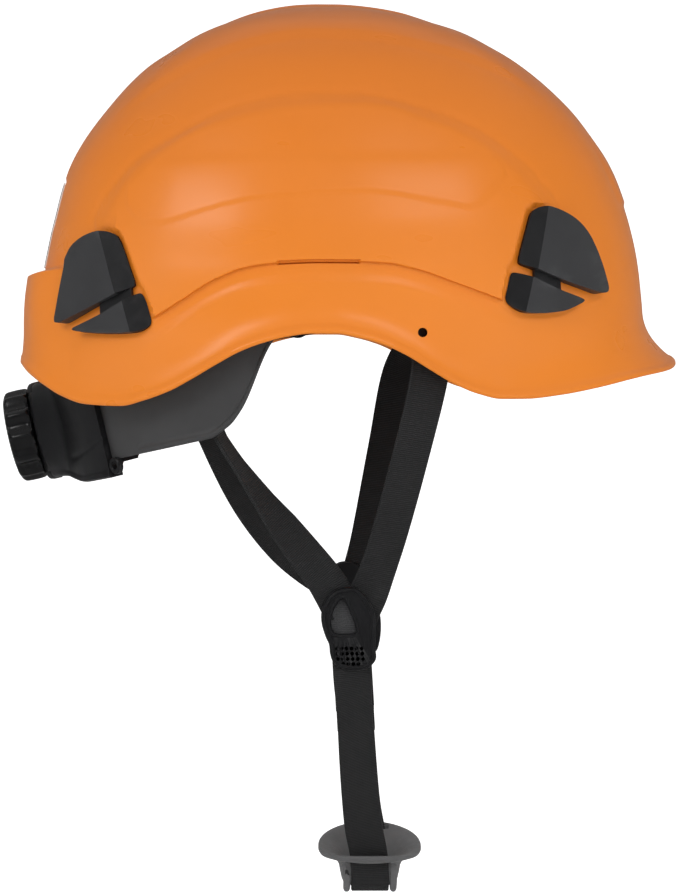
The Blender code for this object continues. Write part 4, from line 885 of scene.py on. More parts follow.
def panel_relief(folded, angle, z):
    """Side panel: rises between two arcs, steps back under the ledge, carries a flat pad."""
    ledge_run = [row for row in LEDGE if -38.2 <= row[0] <= 39.6]
    foot = ARC_OUT + [(-53, -60), (-50, -80), (-46, -91)] + ledge_run
    foot += [(45, -99), (50, -85), (53, -68)]
    top = ARC_IN + [(-47, -60), (-44, -80), (-40, -89.6)] + ledge_run
    top += [(42, -96), (46, -80), (49, -65)]
    in_foot, in_top = inside(foot, angle, z), inside(top, angle, z)
    to_foot, to_top = distance_to_line(ARC_OUT, folded), distance_to_line(ARC_IN, folded)
    slope = to_foot / np.maximum(to_foot + to_top, 1e-6)
    t = np.where(in_top, 1.0, np.where(in_foot, slope, 0.0))
    height = PANEL_RISE * (0.25 * t + 0.75 * t * t * (3 - 2 * t))
    # shallow valley just outside the outer arc
    height = height - 0.35 * (1 - smooth(0.0, 5.0, to_foot)) * ~in_foot * (z > -56)
    ledge_z, low_z = ledge_height(angle), ledge_low_height(angle)
    below = np.clip((ledge_z - z) / np.maximum(ledge_z - low_z, 0.5), 0, 1)
    below = below * (np.abs(angle) < 60)
    height = height * (1 - below)
    # faintly raised pad inside the panel, bounded above by part of the inner arc
    pad = PAD_EDGE + [(-33.5, -20)] + ARC_IN[10:0:-1]
    raised = 0.32 * smooth(0, 1.3, distance_to_line(PAD_EDGE, folded))
    height = height + (np.where(inside(pad, angle, z), raised, 0) * (z < -27)
                       * smooth(-27, -33, z))
    # shallow hollow under the ledge
    under = (np.abs(angle) < 56) * (1 - smooth(-4.0, -9.0, z - ledge_z)) * below * 0.5
    return height - under * smooth(47, 36, np.abs(angle - 0.5))


def crown_relief(folded, angle, z):
    """Step up to the crown band between the ridges."""
    to_ridge = distance_to_line(RIDGE, folded)
    band = RIDGE + [(-75, -14), (-90, -24), (-90, 60), (90, 60), (90, -22), (75, -14)]
    half = 0.5 * smooth(0, 3.2, to_ridge)
    step = np.where(inside(band, angle, z), 0.5 + half, 0.5 - half)
    fade = smooth(66, 52, np.abs(angle)) + smooth(20, 30, z)
    return 0.9 * step * np.clip(fade, 0, 1)


def relief(points, angle):
    """Height of the moulded features above the smooth dome, in millimetres."""
    folded = points.copy()
    folded[..., 0] = np.abs(folded[..., 0])
    x, y, z = folded[..., 0], points[..., 1], points[..., 2]
    height = panel_relief(folded, angle, z) + crown_relief(folded, angle, z)
    # brow step at the front
    brow = (y < 0) * (1 - smooth(26, 34, x))
    height = height + 0.9 * brow * smooth(-45.4, -43.4, z) * (1 - smooth(-34, -12, z))
    # recess for the tape at the back
    recess = (y > 0) * (1 - smooth(24.6, 25.4, x)) * smooth(-73.6, -72.8, z)
    height = height - 0.95 * recess * (1 - smooth(-33.4, -32.4, z))
    # slit along the ledge
    on_ledge = np.abs(z - ledge_height(angle) - 0.05) < 0.58
    slit = (angle > SLIT_FRONT) & (angle < SLIT_REAR) & on_ledge
    height = np.where(slit, height - 1.7, height)
    # pockets the lamp clips sit in, each with a lip round it
    chart = np.stack([angle, z], -1) * CHART
    for clip in CLIPS.values():
        hull = clip["hull"]
        gap = distance_to(np.array(hull + hull[:1]) * CHART, chart)
        gap = np.where(inside(hull, angle, z), -gap, gap)
        pocket = smooth(1.9, 0.9, gap)
        height = height * (1 - pocket) + pocket * -0.25
        height = height + 0.18 * smooth(1.7, 2.1, gap) * (1 - smooth(2.1, 3.6, gap))
    return height


def fraction_at(columns, heights):
    """v at which each column, heights sampled evenly from apex to rim, passes a height."""
    v = np.linspace(0, 1, columns.shape[1])
    return np.array([np.interp(-height, -column, v)
                     for height, column in zip(heights, columns)])


# rows of the mesh near the ledge, as heights above it
LEDGE_ROWS = [
    14, 12.4, 11, 9.8, 8.7, 7.7, 6.8, 6, 5.2, 4.5, 3.8, 3.2, 2.6, 2.1, 1.7, 1.35, 1.05, 0.86,
    0.72, 0.6, 0.48, 0.3, 0.05, -0.2, -0.4, -0.52, -0.64, -0.8, -1.0, -1.3, -1.6, -1.9, -2.2,
    -2.6, -3.0, -3.5, -4.1, -4.8, -5.6, -6.5]
LACE_Y, LACE_Z = -37.2, -102.3
# stepped lace hole through the wall: (|x|, radius)
LACE_HOLE = [(80, 1.9), (100.2, 1.9), (101.5, 2.05), (104.5, 2.9), (125, 2.9)]


def build_shell():
    columns, last_row = 640, 0.9965
    theta = np.linspace(-PI, PI, columns, endpoint=False)[:, None]
    angle = fold(theta)
    heights = shell_point(theta, np.linspace(0, 1, 420)[None, :])[..., 2]
    ledge_z = ledge_height(angle[:, 0])
    ledge_rows = [fraction_at(heights, ledge_z + row) for row in LEDGE_ROWS]
    low = ledge_rows[-1]
    v = np.stack([ledge_rows[0] * k for k in np.linspace(0, 1, 120)[1:-1]] + ledge_rows
                 + [low + (last_row - low) * k for k in np.linspace(0, 1, 30)[1:]], 1)
    outer = shell_point(theta, v)
    round_way = np.roll(outer, -1, 0) - np.roll(outer, 1, 0)
    normals = outward(np.cross(round_way, np.gradient(outer, axis=1)), outer)
    height = relief(outer, np.broadcast_to(angle, v.shape))
    # bead along the rim
    rim = shell_point(theta, np.array([[1.0]]))
    to_rim = np.linalg.norm(outer - rim, axis=-1)
    height = height + 0.45 * (1 - smooth(2.6, 4.4, to_rim)) * (to_rim < 8)
    outer = outer + normals * height[..., None]
    # rounded lip, then the inner skin
    inner = shell_point(theta, np.linspace(1.0, 0, 46)[None, :-1], SHELL_WALL)
    down = unit(rim[:, 0] - shell_point(theta, np.array([[0.99]]))[:, 0])
    lip = [outer[:, -1] * (1 - k) + inner[:, 0] * k + down * 1.1 * math.sin(PI * k)
           for k in (0.12, 0.3, 0.5, 0.7, 0.88)]
    shape = capped_dome(np.concatenate([outer, np.stack(lip, 1), inner], 1),
                        shell_apex() + [0, 0, 0.9], shell_apex(SHELL_WALL))
    ob = piece("helmet_shell_skin", shape, ORANGE, "helmet_shell", "shell",
               sharp=50, raised=True)
    for side, tag in SIDES:
        verts, faces = loft([disc(side * x, LACE_Y, LACE_Z, radius, 40)
                             for x, radius in LACE_HOLE])
        cut(ob, tag, (lift_flanks(verts), faces), solver="EXACT")
    bake(ob)


def build_liner():
    """Bead foam under the shell with air channels pressed into its face."""
    columns, rows, channels = 240, 60, 8
    theta = np.linspace(-PI, PI, columns, endpoint=False)
    heights = shell_point(theta[:, None], np.linspace(0, 1, 300)[None, :])[..., 2]
    edge = fraction_at(heights, -32.0 - 5.0 * np.abs(np.sin(theta)))
    v = edge[:, None] * np.linspace(0, 1, rows)[None, 1:]
    gap = SHELL_WALL + LINER_GAP
    outer = shell_point(theta[:, None], v, gap)
    x, y = outer[..., 0], outer[..., 1]
    channel = np.zeros_like(v)
    for i in range(channels):
        heading = math.radians(22.5 + 360 / channels * i)
        off_line = np.abs(x * math.sin(heading) - y * math.cos(heading))
        ahead = (x * math.cos(heading) + y * math.sin(heading)) > 0
        channel = np.maximum(channel, smooth(5.0, 3.2, off_line) * ahead
                             * smooth(30, 38, np.hypot(x, y)))
    inner = shell_point(theta[:, None], v, gap + LINER_WALL - 2.4 * channel)
    lip = [outer[:, -1] * (1 - k) + inner[:, -1] * k
           + np.array([0, 0, -1.4 * math.sin(PI * k) ** 0.6]) for k in (0.06, 0.2, 0.5, 0.8, 0.94)]
    shape = capped_dome(np.concatenate([outer, np.stack(lip, 1), inner[:, ::-1]], 1),
                        shell_apex(gap), shell_apex(gap + LINER_WALL))
    piece("foam_liner_beads", shape, FOAM, "helmet_shell", "foam_liner",
          sharp=60, raised=True)


def build_tape():
    """Reflective panel in its recess at the back."""
    columns, rows = 44, 60
    top_z, bottom_z, half_angle = -34.2, -71.4, 11.718
    across, z = np.meshgrid(np.linspace(-1, 1, columns), np.linspace(top_z, bottom_z, rows),
                            indexing="ij")
    # rounded upper corners
    wide = np.where(z > -37, 1 - 0.13 * smooth(-37.0, top_z, z) ** 2, 1.0)
    points, normals = shell_at(90 + across * wide * half_angle, z)
    uv = np.stack(np.meshgrid(np.linspace(0, 1, columns), np.linspace(0, 1, rows),
                              indexing="ij"), -1).reshape(-1, 2)
    piece("reflective_panel", closed_sheet(points + normals * 0.18, points - normals * 0.27),
          TAPE, "helmet_shell", "reflective_tape",
          uv=np.concatenate([uv, uv]), sharp=50, raised=True)


# ---------------------------------------------------------------- lamp clips
def wedge(outline, height, crease=None, facet_side=1, slope=0.66):
    """Flat-faced wedge standing on the shell, with one sloping facet beyond the crease.
    Returns verts, faces and the indices of the facet's faces."""
    foot, grid_step = 0.15, 4.0
    plan = bmesh.new()
    plan.faces.new([plan.verts.new((x, y, 0)) for x, y in np.array(outline) * CHART])

    def split(point, normal):
        bmesh.ops.bisect_plane(plan, geom=plan.verts[:] + plan.edges[:] + plan.faces[:],
                               dist=1e-4, plane_co=point, plane_no=normal)

    if crease:
        start, end = np.array(crease) * CHART
        along = unit(end - start)
        across = np.array([-along[1], along[0]])
        split((*start, 0), (*across, 0))
    for axis in (0, 1):
        values = [v.co[axis] for v in plan.verts]
        position = math.ceil(min(values) / grid_step) * grid_step + 0.37
        while position < max(values):
            point, normal = [0, 0, 0], [0, 0, 0]
            point[axis], normal[axis] = position, 1
            split(point, normal)
            position += grid_step
    plan.verts.index_update()
    spots = np.array([v.co[:2] for v in plan.verts])
    cells = [[v.index for v in f.verts] for f in plan.faces]
    rim = [(e.verts[0].index, e.verts[1].index) for e in plan.edges if len(e.link_faces) == 1]
    plan.free()

    points, normals = shell_at(*(spots / CHART).T)
    # flatten the top most of the way towards its mean plane
    face = points + normals * height
    middle = face.mean(0)
    plane = np.linalg.svd(face - middle)[2][2]
    plane = plane * np.sign(plane @ normals.mean(0))
    reach = ((middle - face) @ plane) / (normals @ plane)
    top = face + normals * (reach * 0.85)[:, None]
    count, cell_count = len(spots), len(cells)
    facet = []
    if crease:
        beyond = (spots - start) @ across * facet_side
        top = top - normals * (slope * np.clip(beyond, 0, None))[:, None]
        facet = [cell_count + k for k, cell in enumerate(cells)
                 if min(beyond[i] for i in cell) > -1e-3]
        facet += [2 * cell_count + k for k, (i, j) in enumerate(rim)
                  if beyond[i] > -1e-3 and beyond[j] > -1e-3]
    faces = [tuple(cell) for cell in cells]
    faces += [tuple(count + i for i in reversed(cell)) for cell in cells]
    faces += [(i, j, count + j, count + i) for i, j in rim]
    return np.concatenate([points + normals * foot, top]), faces, facet


def soften(outline, reach):
    """Cut every corner back by up to reach mm, twice over."""
    points = np.array(outline) * CHART
    for step in (reach, reach * 0.45):
        softened = []
        for i, corner in enumerate(points):
            for other in (points[i - 1], points[(i + 1) % len(points)]):
                toward = other - corner
                softened.append(corner + toward * min(0.27, step / np.linalg.norm(toward)))
        points = np.array(softened)
    return points / CHART


def build_clips():
    for which, clip in CLIPS.items():
        upper, upper_faces, upper_facet = wedge(
            soften(clip["upper"], 1.3), 4.9, clip["upper_crease"], clip["facet_side"])
        lower, lower_faces, lower_facet = wedge(
            soften(clip["lower"], 1.1), 4.5, clip["lower_crease"], clip["facet_side"])
        verts, faces = join_parts([(upper, upper_faces), (lower, lower_faces)])
        facets = upper_facet + [len(upper_faces) + k for k in lower_facet]
        web, web_faces, _ = wedge(clip["web"], 1.9)
        for side, tag in SIDES:
            mirror = np.array([side, 1, 1])
            body = "lamp_clip_%s_%s" % (which, tag)
            # the sloping facets take the darker clip plastic, as painted shade
            piece(body + "_faces", (verts * mirror, faces), CLIP, body, body,
                  bevel=(1.0, 4, 22), second=(CLIP_FACET_SHADE, facets), raised=True)
            piece(body + "_web", (web * mirror, web_faces), CLIP_WEB, body,
                  bevel=(0.3, 2, 30), raised=True)


# ================================================================ webbing
# stations over half a strap's width, crowded at the selvedge
HALF_STATIONS = [0.3, 0.6, 0.85, 0.885, 0.92, 0.955, 0.985, 1]


def strap(path, across, width=STRAP_WIDTH, thickness=STRAP_THICKNESS, depth=0.11):
    """Woven strap: cross ribs on both faces and rounded selvedges.
    Returns a shape, and its uv in mm."""
    path = np.asarray(path, float)
    across = np.broadcast_to(np.asarray(across, float), (len(path), 3))
    knots = lengths_along(path)
    count = int(knots[-1] / (RIB_PITCH / 4)) + 1
    length = np.linspace(0, knots[-1], count)
    path = np.stack([np.interp(length, knots, path[:, k]) for k in range(3)], 1)
    across = np.stack([np.interp(length, knots, across[:, k]) for k in range(3)], 1)
    # ease the corners left by straight interpolation
    for _ in range(40):
        path[1:-1] = (path[:-2] + 2 * path[1:-1] + path[2:]) / 4
    tangent = unit(np.gradient(path, axis=0))
    across = unit(across - tangent * np.sum(across * tangent, 1, keepdims=True))
    normal = np.cross(tangent, across)
    stations = np.array([-s for s in HALF_STATIONS[::-1]] + [0] + HALF_STATIONS)
    out = np.abs(stations)
    edge = np.sqrt(np.clip(1 - np.clip((out - 0.90) / 0.10, 0, 1) ** 2, 0, 1))
    selvedge = 0.10 * np.exp(-((out - 0.93) / 0.03) ** 2)
    rib = depth * (np.abs(np.sin(PI * length / RIB_PITCH)) ** 0.7 - 0.5)
    ripple = 0.03 * np.sin(PI * length / RIB_PITCH * 2)
    half = (thickness / 2 + selvedge) * edge + rib[:, None] * ((out < 0.9) * edge)
    half = half + ripple[:, None] * (out >= 0.9) * edge
    # over the top face, then back under
    ring = np.concatenate([stations, stations[::-1][1:-1]])
    height = np.concatenate([half, -half[:, ::-1][:, 1:-1]], 1)
    points = (path[:, None] + across[:, None] * (ring[None, :, None] * width / 2)
              + normal[:, None] * height[..., None])
    uv = np.stack(np.broadcast_arrays(ring * STRAP_WIDTH / 2 + 20, length[:, None]), -1)
    return loft(points), uv.reshape(-1, 2)


def strap_piece(name, path, across, body="helmet_shell", replaces=None, material=WEBBING,
                **sizes):
    shape, uv = strap(path, across, **sizes)
    piece(name, shape, material, body, replaces, uv=uv, sharp=70)


def stitches(path, across):
    """Box-stitch threads: short raised dashes laid across a strap near a fold."""
    lift, thread_radius = 0.8, 0.26
    parts = []
    for offset in (-5.6, -2.8, 0, 2.8, 5.6):
        for i in (2, 4, 6, 9, 11, 14):
            along = unit(path[i + 1] - path[i])
            sideways = unit(across - along * (across @ along))
            normal = np.cross(along, sideways)
            centre = path[i] + sideways * offset + normal * lift
            rings = []
            for s in (-0.9, -0.6, 0, 0.6, 0.9):
                radius = thread_radius * math.sqrt(max(0.05, 1 - s ** 2))
                rings.append([centre + along * s + sideways * radius * math.cos(b)
                              + normal * radius * math.sin(b) for b in turn_angles(6)])
            parts.append(loft(rings))
    return join_parts(parts)


# Side straps. spot is the anchor's (plan angle, height) on the shell, gap its clearance from
# the wall, start how far the second point lies (inwards, downwards) from the anchor.
STRAP_ANCHORS = {
    "front": dict(spot=(-23.7, -93.0), gap=1.2, start=(0.3, 6)),
    "rear": dict(spot=(40.5, -86.0), gap=2.2, start=(1.0, 4)),
}
# the strap's run below its anchor: (|x|, y, z)
STRAP_RUNS = {
    ("front", "right"): [
        (89.5, -40.0, -117), (84, -32.6, -149), (74.5, -23.6, -183), (68.6, -16.8, -203.0),
        (68.4, -12.0, -213.8), (69.35, -9.8, -224.0)],
    ("front", "left"): [
        (89.5, -31.5, -117), (84, -25.1, -149), (74.5, -18.6, -183), (68.6, -14.4, -203.0),
        (68.4, -11.0, -213.8), (69.35, -9.6, -224.0)],
    ("rear", "right"): [
        (75.6, 60.0, -111), (74.6, 43.8, -141), (73.8, 26.0, -167), (71.6, 11.6, -186),
        (69.7, 1.0, -200), (69.35, -6.0, -213)],
    ("rear", "left"): [
        (75.6, 66.0, -114), (74.6, 54.6, -143), (73.6, 39.6, -173.5), (71.0, 23.5, -195),
        (69.6, 8.0, -208), (69.35, -4.0, -214)],
}


def front_across(path, across, side):
    """Width direction of a front strap: along the shell, then turning to lie fore and aft."""
    index = np.arange(len(path))
    turned_in = smooth(10, 34, index)[:, None]
    across = across * (1 - turned_in) + np.array([side * 0.34, 1, 0]) * turned_in
    straight = smooth(50, 66, index)[:, None]
    return across * (1 - straight) + np.array([0, 1, 0]) * straight


def rear_across(path, across, side):
    """Width direction of a rear strap; flat is how far it lies in the side plane."""
    tangent = np.gradient(path, axis=0)
    square = unit(np.stack([0 * tangent[:, 0], -tangent[:, 2], tangent[:, 1]], 1))
    if side > 0:
        flat = 0.82
    else:
        flat = np.interp(path[:, 2], [-203, -188, -177, -167, -152, -139],
                         [0.97, 0.86, 0.74, 0.5, 0.26, 0.2])[:, None]
    twisted = square * flat + np.array([side, 0, 0]) * np.sqrt(1 - flat ** 2)
    turned_in = smooth(12, 30, np.arange(len(path)))[:, None]
    return across * (1 - turned_in) + twisted * turned_in


def build_side_straps():
    for which, anchor in STRAP_ANCHORS.items():
        for side, tag in SIDES:
            point, normal = shell_at(*anchor["spot"], side)
            level = unit(np.array([-normal[1], normal[0], 0]))
            level = level if level[1] > 0 else -level
            up = np.cross(normal, level)
            up = up if up[2] > 0 else -up
            top = point - normal * (SHELL_WALL + anchor["gap"] + 2.4 + 0.7
                                    + STRAP_THICKNESS / 2)
            inwards, downwards = anchor["start"]
            run = np.array(STRAP_RUNS[which, tag]) * [side, 1, 1]
            path = curve_through([top + up * 6, top - normal * inwards - up * downwards, *run],
                                 12)
            turn = front_across if which == "front" else rear_across
            name = "strap_%s_%s" % (which, tag)
            strap_piece(name + "_webbing", path, turn(path, level, side), replaces=name)
            piece(name + "_stitching", stitches(path, level), WEBBING, "helmet_shell",
                  sharp=60)


# ================================================================ sliders
# outlines in the side plane: (y, z)
FLAP_OUTLINE = [
    (-7.5, -201.9), (-4.3, -202.3), (-1.5, -203.9), (1.0, -206.5), (2.6, -210.2),
    (3.2, -213.4), (2.8, -217.4), (1.4, -221.9), (0.0, -225.1), (-0.4, -228.7),
    (-1.5, -232.0), (-3.5, -234.0), (-6.7, -235.2), (-11.5, -235.6), (-15.6, -234.8),
    (-18.0, -232.8), (-19.2, -230.4), (-18.8, -226.3), (-18.9, -220.5), (-18.8, -215.0),
    (-18.2, -211.4), (-16.4, -207.8), (-14.0, -204.5), (-10.7, -202.1)]
WINDOW_OUTLINE = [
    (-5.9, -206.8), (-4.2, -207.6), (-2.2, -210.8), (-0.9, -215.0), (-1.4, -219.0),
    (-3.2, -220.6), (-8.3, -220.7), (-10.7, -220.3), (-10.9, -218.9), (-9.9, -215.4),
    (-7.9, -210.6)]
FRAME_FRONT_OUTLINE = [
    (-13.5, -203.2), (-18.4, -208.6), (-20.6, -212.5), (-21.2, -218.5), (-20.6, -224.5),
    (-19.0, -228.5), (-15.5, -226.0), (-15.0, -212.0)]
PIT_HEIGHTS = (-226.6, -228.75, -230.9, -232.9)
PIT_PLACES = (-3.1, -5.1, -7.1, -9.15, -11.2, -13.25)           # y in the top row
PIT_SECTION = ((0.25, 73.1), (0.5, 73.3), (0.66, 73.9), (0.8, 74.3))    # (radius, |x|)


def side_loft(levels, side, closed=False):
    """Loft of (loop, |x|) levels in side planes."""
    return loft([[(side * x, y, z) for y, z in loop] for loop, x in levels], closed)


def plate(loop, side, levels):
    """Plate in a side plane from (inset, |x|) levels, inner face first."""
    return side_loft([(inset_loop(loop, inset), x) for inset, x in levels], side)


def ring_band(outer, inner, side, x_out, x_in, edge):
    """Closed frame between two loops of equal length, with rounded edges."""
    return side_loft([
        (outer, x_in), (outer, x_out - edge),
        (inset_loop(outer, edge * 0.35), x_out - edge * 0.3), (inset_loop(outer, edge), x_out),
        (inset_loop(inner, -edge), x_out),
        (inset_loop(inner, -edge * 0.35), x_out - edge * 0.3),
        (inner, x_out - edge), (inner, x_in)], side, closed=True)


def loop_from_top(outline):
    """Smooth even loop starting at its highest point, so paired loops stay aligned."""
    loop = resample(smooth_loop(outline, 8), 144)
    return np.roll(loop, -int(np.argmax(loop[:, 1])), 0)


def grip_pits(side):
    """Finger-grip pits in the flap; the lowest row lacks its end ones."""
    return join_parts([
        loft([disc(side * x, y - 0.25 * row, z, radius, 12) for radius, x in PIT_SECTION])
        for row, z in enumerate(PIT_HEIGHTS) for k, y in enumerate(PIT_PLACES)
        if not (row == 3 and k in (0, 5))])


def build_sliders():
    outline, window = loop_from_top(FLAP_OUTLINE), loop_from_top(WINDOW_OUTLINE)
    frame_front = resample(smooth_loop(FRAME_FRONT_OUTLINE, 6), 60)
    for side, tag in SIDES:
        body = "slider_flap_" + tag
        # the flap, a bead round its window and a lip round its edge
        shape = join_parts([
            ring_band(outline, window, side, x_out=74.3, x_in=71.5, edge=0.9),
            ring_band(inset_loop(window, -1.5), inset_loop(window, -0.3), side,
                      x_out=74.55, x_in=74.0, edge=0.28),
            ring_band(inset_loop(outline, 0.5), inset_loop(outline, 1.9), side,
                      x_out=74.75, x_in=74.0, edge=0.4)])
        ob = piece(body + "_face", shape, BLACK, body, body, sharp=45)
        cut(ob, "pits_" + tag, grip_pits(side))
        bake(ob)
        # frame behind the straps
        shape = join_parts([
            plate(outline, side, [(0.9, 65.4), (0.25, 65.55), (0, 66.0), (0, 67.0),
                                  (0.3, 67.4)]),
            plate(frame_front, side, [(0.7, 65.6), (0, 66.0), (0, 67.6), (0.5, 68.2)])])
        piece("slider_frame_%s_plate" % tag, shape, BLACK, "helmet_shell",
              "slider_frame_" + tag, sharp=45)
        # webbing that shows through the window
        path = [(side * 70.72, -6.9, -206.3), (side * 70.76, -7.0, -214),
                (side * 70.72, -7.1, -223.5)]
        strap_piece("slider_window_webbing_" + tag, path, (0, 1, 0), material=WEBBING_LIGHT,
                    width=13.0, thickness=0.7, depth=0.1)
        carry("flap_pin_" + tag, STEEL)


# ================================================================ chin strap, buckle, cup
# the chin strap's left half, from the slider to the middle: (x, y, z)
CHIN_HALF = [
    (69.4, -9.2, -229.0), (69.0, -9.7, -239.0), (51.5, -11.6, -272.0), (33.5, -14.0, -303.0),
    (26.4, -16.4, -317.5), (23.4, CUP_Y, -328.0), (17.5, CUP_Y, -334.6), (9.0, CUP_Y, -335.8),
    (0.0, CUP_Y, -335.8)]
# on the left the strap is interrupted by the buckle, between these lengths from the slider
BUCKLE_START, BUCKLE_END = 14.8, 49.8


def build_chin():
    half = curve_through(CHIN_HALF, 26)
    length = lengths_along(half)
    main = np.concatenate([half * [-1, 1, 1], half[length > BUCKLE_END][::-1][1:]])
    # the right strap turns slightly below the slider
    index = np.arange(len(main))
    z = main[:, 2]
    across = np.tile([0.0, 1.0, 0.0], (len(main), 1))
    across[:, 0] = -0.30 * smooth(14, 40, index) * (1 - smooth(60, 104, index))
    right_run = (main[:, 0] < 0) * smooth(-238, -252, z) * (1 - smooth(-296, -322, z))
    across[:, 0] -= 0.25 * right_run * smooth(-290, -250, z)
    strap_piece("chin_strap_webbing", main, across, "chin_loop", "chin_strap")
    strap_piece("chin_strap_upper_webbing", half[length < BUCKLE_START], (0, 1, 0),
                "chin_loop", "chin_strap_buckle_end")
    for node, bevel in (("buckle_socket", 0.7), ("buckle_plug", 0.6),
                        ("buckle_prong_front", 0.5), ("buckle_prong_rear", 0.5)):
        carry(node, BLACK, bevel)
    build_cup()


# the cup's section: (half length in x, half width in y, height, lift of the ends)
CUP_RINGS = [
    (0.5, 0.5, -331.9, 0), (5.0, 4.5, -331.7, 0), (10.0, 8.2, -331.0, 0.1),
    (14.4, 10.0, -328.6, 0.2), (18.2, 11.6, -325.2, 0.4), (22.0, 13.6, -321.8, 1.0),
    (26.2, 17.0, -319.8, 1.7), (29.6, 20.0, -319.0, 2.3), (31.6, 21.6, -318.7, 2.7),
    (32.4, 22.1, -319.0, 2.8), (32.5, 22.1, -319.8, 2.7), (31.9, 21.6, -320.6, 2.4),
    (29.6, 19.8, -321.2, 2.0), (26.0, 16.6, -322.2, 1.4), (23.0, 14.4, -323.8, 0.8),
    (21.4, 13.3, -326.2, 0.3), (20.2, 12.7, -329.6, 0.1), (18.6, 12.1, -332.4, 0.0),
    (15.4, 11.4, -334.2, 0), (11.0, 10.0, -334.9, 0), (5.0, 5.0, -335.0, 0),
    (0.5, 0.5, -335.0, 0)]


def cup_dish():
    """Saddle dish with a rolled rim over a narrow bowl."""
    power = 2.35
    angles = turn_angles(144)
    cos, sin = np.cos(angles), np.sin(angles)
    square = (np.abs(cos) ** power + np.abs(sin) ** power) ** (-1 / power)
    rings = []
    for half_x, half_y, z, lift in CUP_RINGS:
        # the soft dish hangs a little lower on the wearer's right
        roll = 0.075 * half_x * cos * smooth(15, 24, half_x)
        rings.append(np.stack([half_x * square * cos, CUP_Y + half_y * square * sin,
                               z + lift * cos ** 2 + roll], -1))
    return loft(rings)


def cup_rail(run, side, edge):
    """Rail along one edge of the strap, under the bowl."""
    path = run * [side, 1, 1] + [0, edge * 9.9, 0]
    out = np.cross(unit(np.gradient(path, axis=0)), np.array([0, 1.0, 0])) * side
    s = np.linspace(0, 1, len(path))
    height = 1.5 * smooth(0, 0.12, s) + 0.2
    width = 1.35 + 0.25 * (1 - s)
    return loft([[path[i] + np.array([0, width[i] * math.cos(b), 0])
                  + out[i] * (height[i] * math.sin(b) - 0.6) for b in turn_angles(16)]
                 for i in range(len(path))])


def build_cup():
    """Soft rubber chin cup with rails guiding the strap."""
    half = curve_through(CHIN_HALF, 14)
    run = half[half[:, 2] < -322.5]
    rails = [cup_rail(run, side, edge) for edge in (-1, 1) for side in (-1, 1)]
    ob = piece("chin_cup_rubber", join_parts([cup_dish()] + rails), RUBBER, "chin_loop",
               "chin_cup", sharp=60)
    # slots the strap passes through
    for side, tag in SIDES:
        cut(ob, "slot_" + tag, loft([
            [(side * (x + 1.6 * dx), CUP_Y + 0.9 + dy * 9.6, z)
             for dx, dy in ((-1, -1), (1, -1), (1, 1), (-1, 1))]
            for z, x in ((-307.0, 30.6), (-328.0, 22.9))]))
    bake(ob)


# ================================================================ nape cradle
HOUSING_RADIUS, BOSS_REACH = 91.7, 99.2     # the shell, and the boss along the knob's axis


def housing_shell():
    """Curved shell that flares up to the round boss behind the knob."""
    rows = 56
    rings = []
    for degrees in np.linspace(-41, 41, 165):
        alpha = math.radians(degrees)
        spread = abs(degrees)
        low = -20.5 - 4.0 * float(smooth(8, 30, spread)) + 3.8 * float(smooth(31, 35, degrees))
        high = 20.5 - 5.0 * float(smooth(16, 38, spread))
        h = np.linspace(low, high, rows)
        points = band_point(1, np.full(rows, alpha), HOUSING_RADIUS, h)
        from_axis = np.hypot(HOUSING_RADIUS * math.sin(alpha), h)
        flare = (1 - np.clip((from_axis - 18.6) / 15.0, 0, 1)) ** 2.4
        reach = (BOSS_REACH - HOUSING_RADIUS * math.cos(alpha)) * flare
        points = points + BAND_AXIS * reach[:, None]
        # raised border, a swept crease and a rounded edge
        normal = math.cos(alpha) * BAND_AXIS + np.array([math.sin(alpha), 0, 0])
        edge = np.minimum(h - low, high - h)
        border = 0.55 * (1 - smooth(2.0, 2.6, edge)) * smooth(0.0, 0.5, edge)
        crease_line = low + 9 + 0.35 * (spread - 20)
        crease = -0.5 * np.exp(-((h - crease_line) / 1.1) ** 2) * smooth(18, 24, spread)
        rounding = -0.5 * (1 - smooth(0, 0.6, edge))
        points = points + normal * (border + crease + rounding)[:, None]
        inner = [(85.2, high), (85.2, high - 2.4), (88.95, high - 2.4), (88.95, low + 2.4),
                 (85.2, low + 2.4), (85.2, low)]
        rings.append(np.concatenate([points, [band_point(1, alpha, *at) for at in inner]]))
    return loft(rings)


def knob_fin(up):
    """Small shroud following the knob's edge, above it (up = 1) or below (-1)."""
    arc_radius = 19.6
    section = ((-1.6, 0.1), (-1.4, 1.0), (-0.4, 1.0), (0.1, 0.75), (0.3, 0.25), (0.2, 0.1))
    rings = []
    for degrees in np.linspace(-13, 13, 27):
        turn = math.radians(degrees) * 2.2
        x, z = arc_radius * math.sin(turn), up * arc_radius * math.cos(turn)
        radius = 1.5 * (1 - (degrees / 13.5) ** 2) + 0.05
        rings.append([axis_point(99.0 + 3.2 * u) + np.array([x, 0, 0])
                      + BAND_UP * (z + up * v * radius) for u, v in section])
    return loft(rings)


def corner_eye(side, degrees, height):
    """Ring at a lower corner of the housing."""
    section = ((3.1, 89.2), (3.1, 91.2), (2.7, 91.6), (1.8, 91.6), (1.4, 91.2), (1.4, 89.2),
               (1.8, 88.9), (2.7, 88.9))        # (radius of the ring, radius on the band)
    return loft([[band_point(side,
                             math.radians(degrees + (ring * math.cos(b)) / BAND_DEGREE_MM),
                             radius, height + ring * math.sin(b) * 1.1)
                  for ring, radius in section] for b in turn_angles(32)], closed=True)


def build_cradle():
    shape = join_parts([housing_shell(), knob_fin(1), knob_fin(-1),
                        corner_eye(-1, 43.2, -20.0), corner_eye(1, 36.5, -15.6)])
    piece("ratchet_housing_shell", shape, BLACK, "nape_cradle",
          "ratchet_housing", sharp=42)
    carry("housing_inner_plate", BLACK, 0.3)
    build_nape_pad()
    build_knob()
    build_arms()


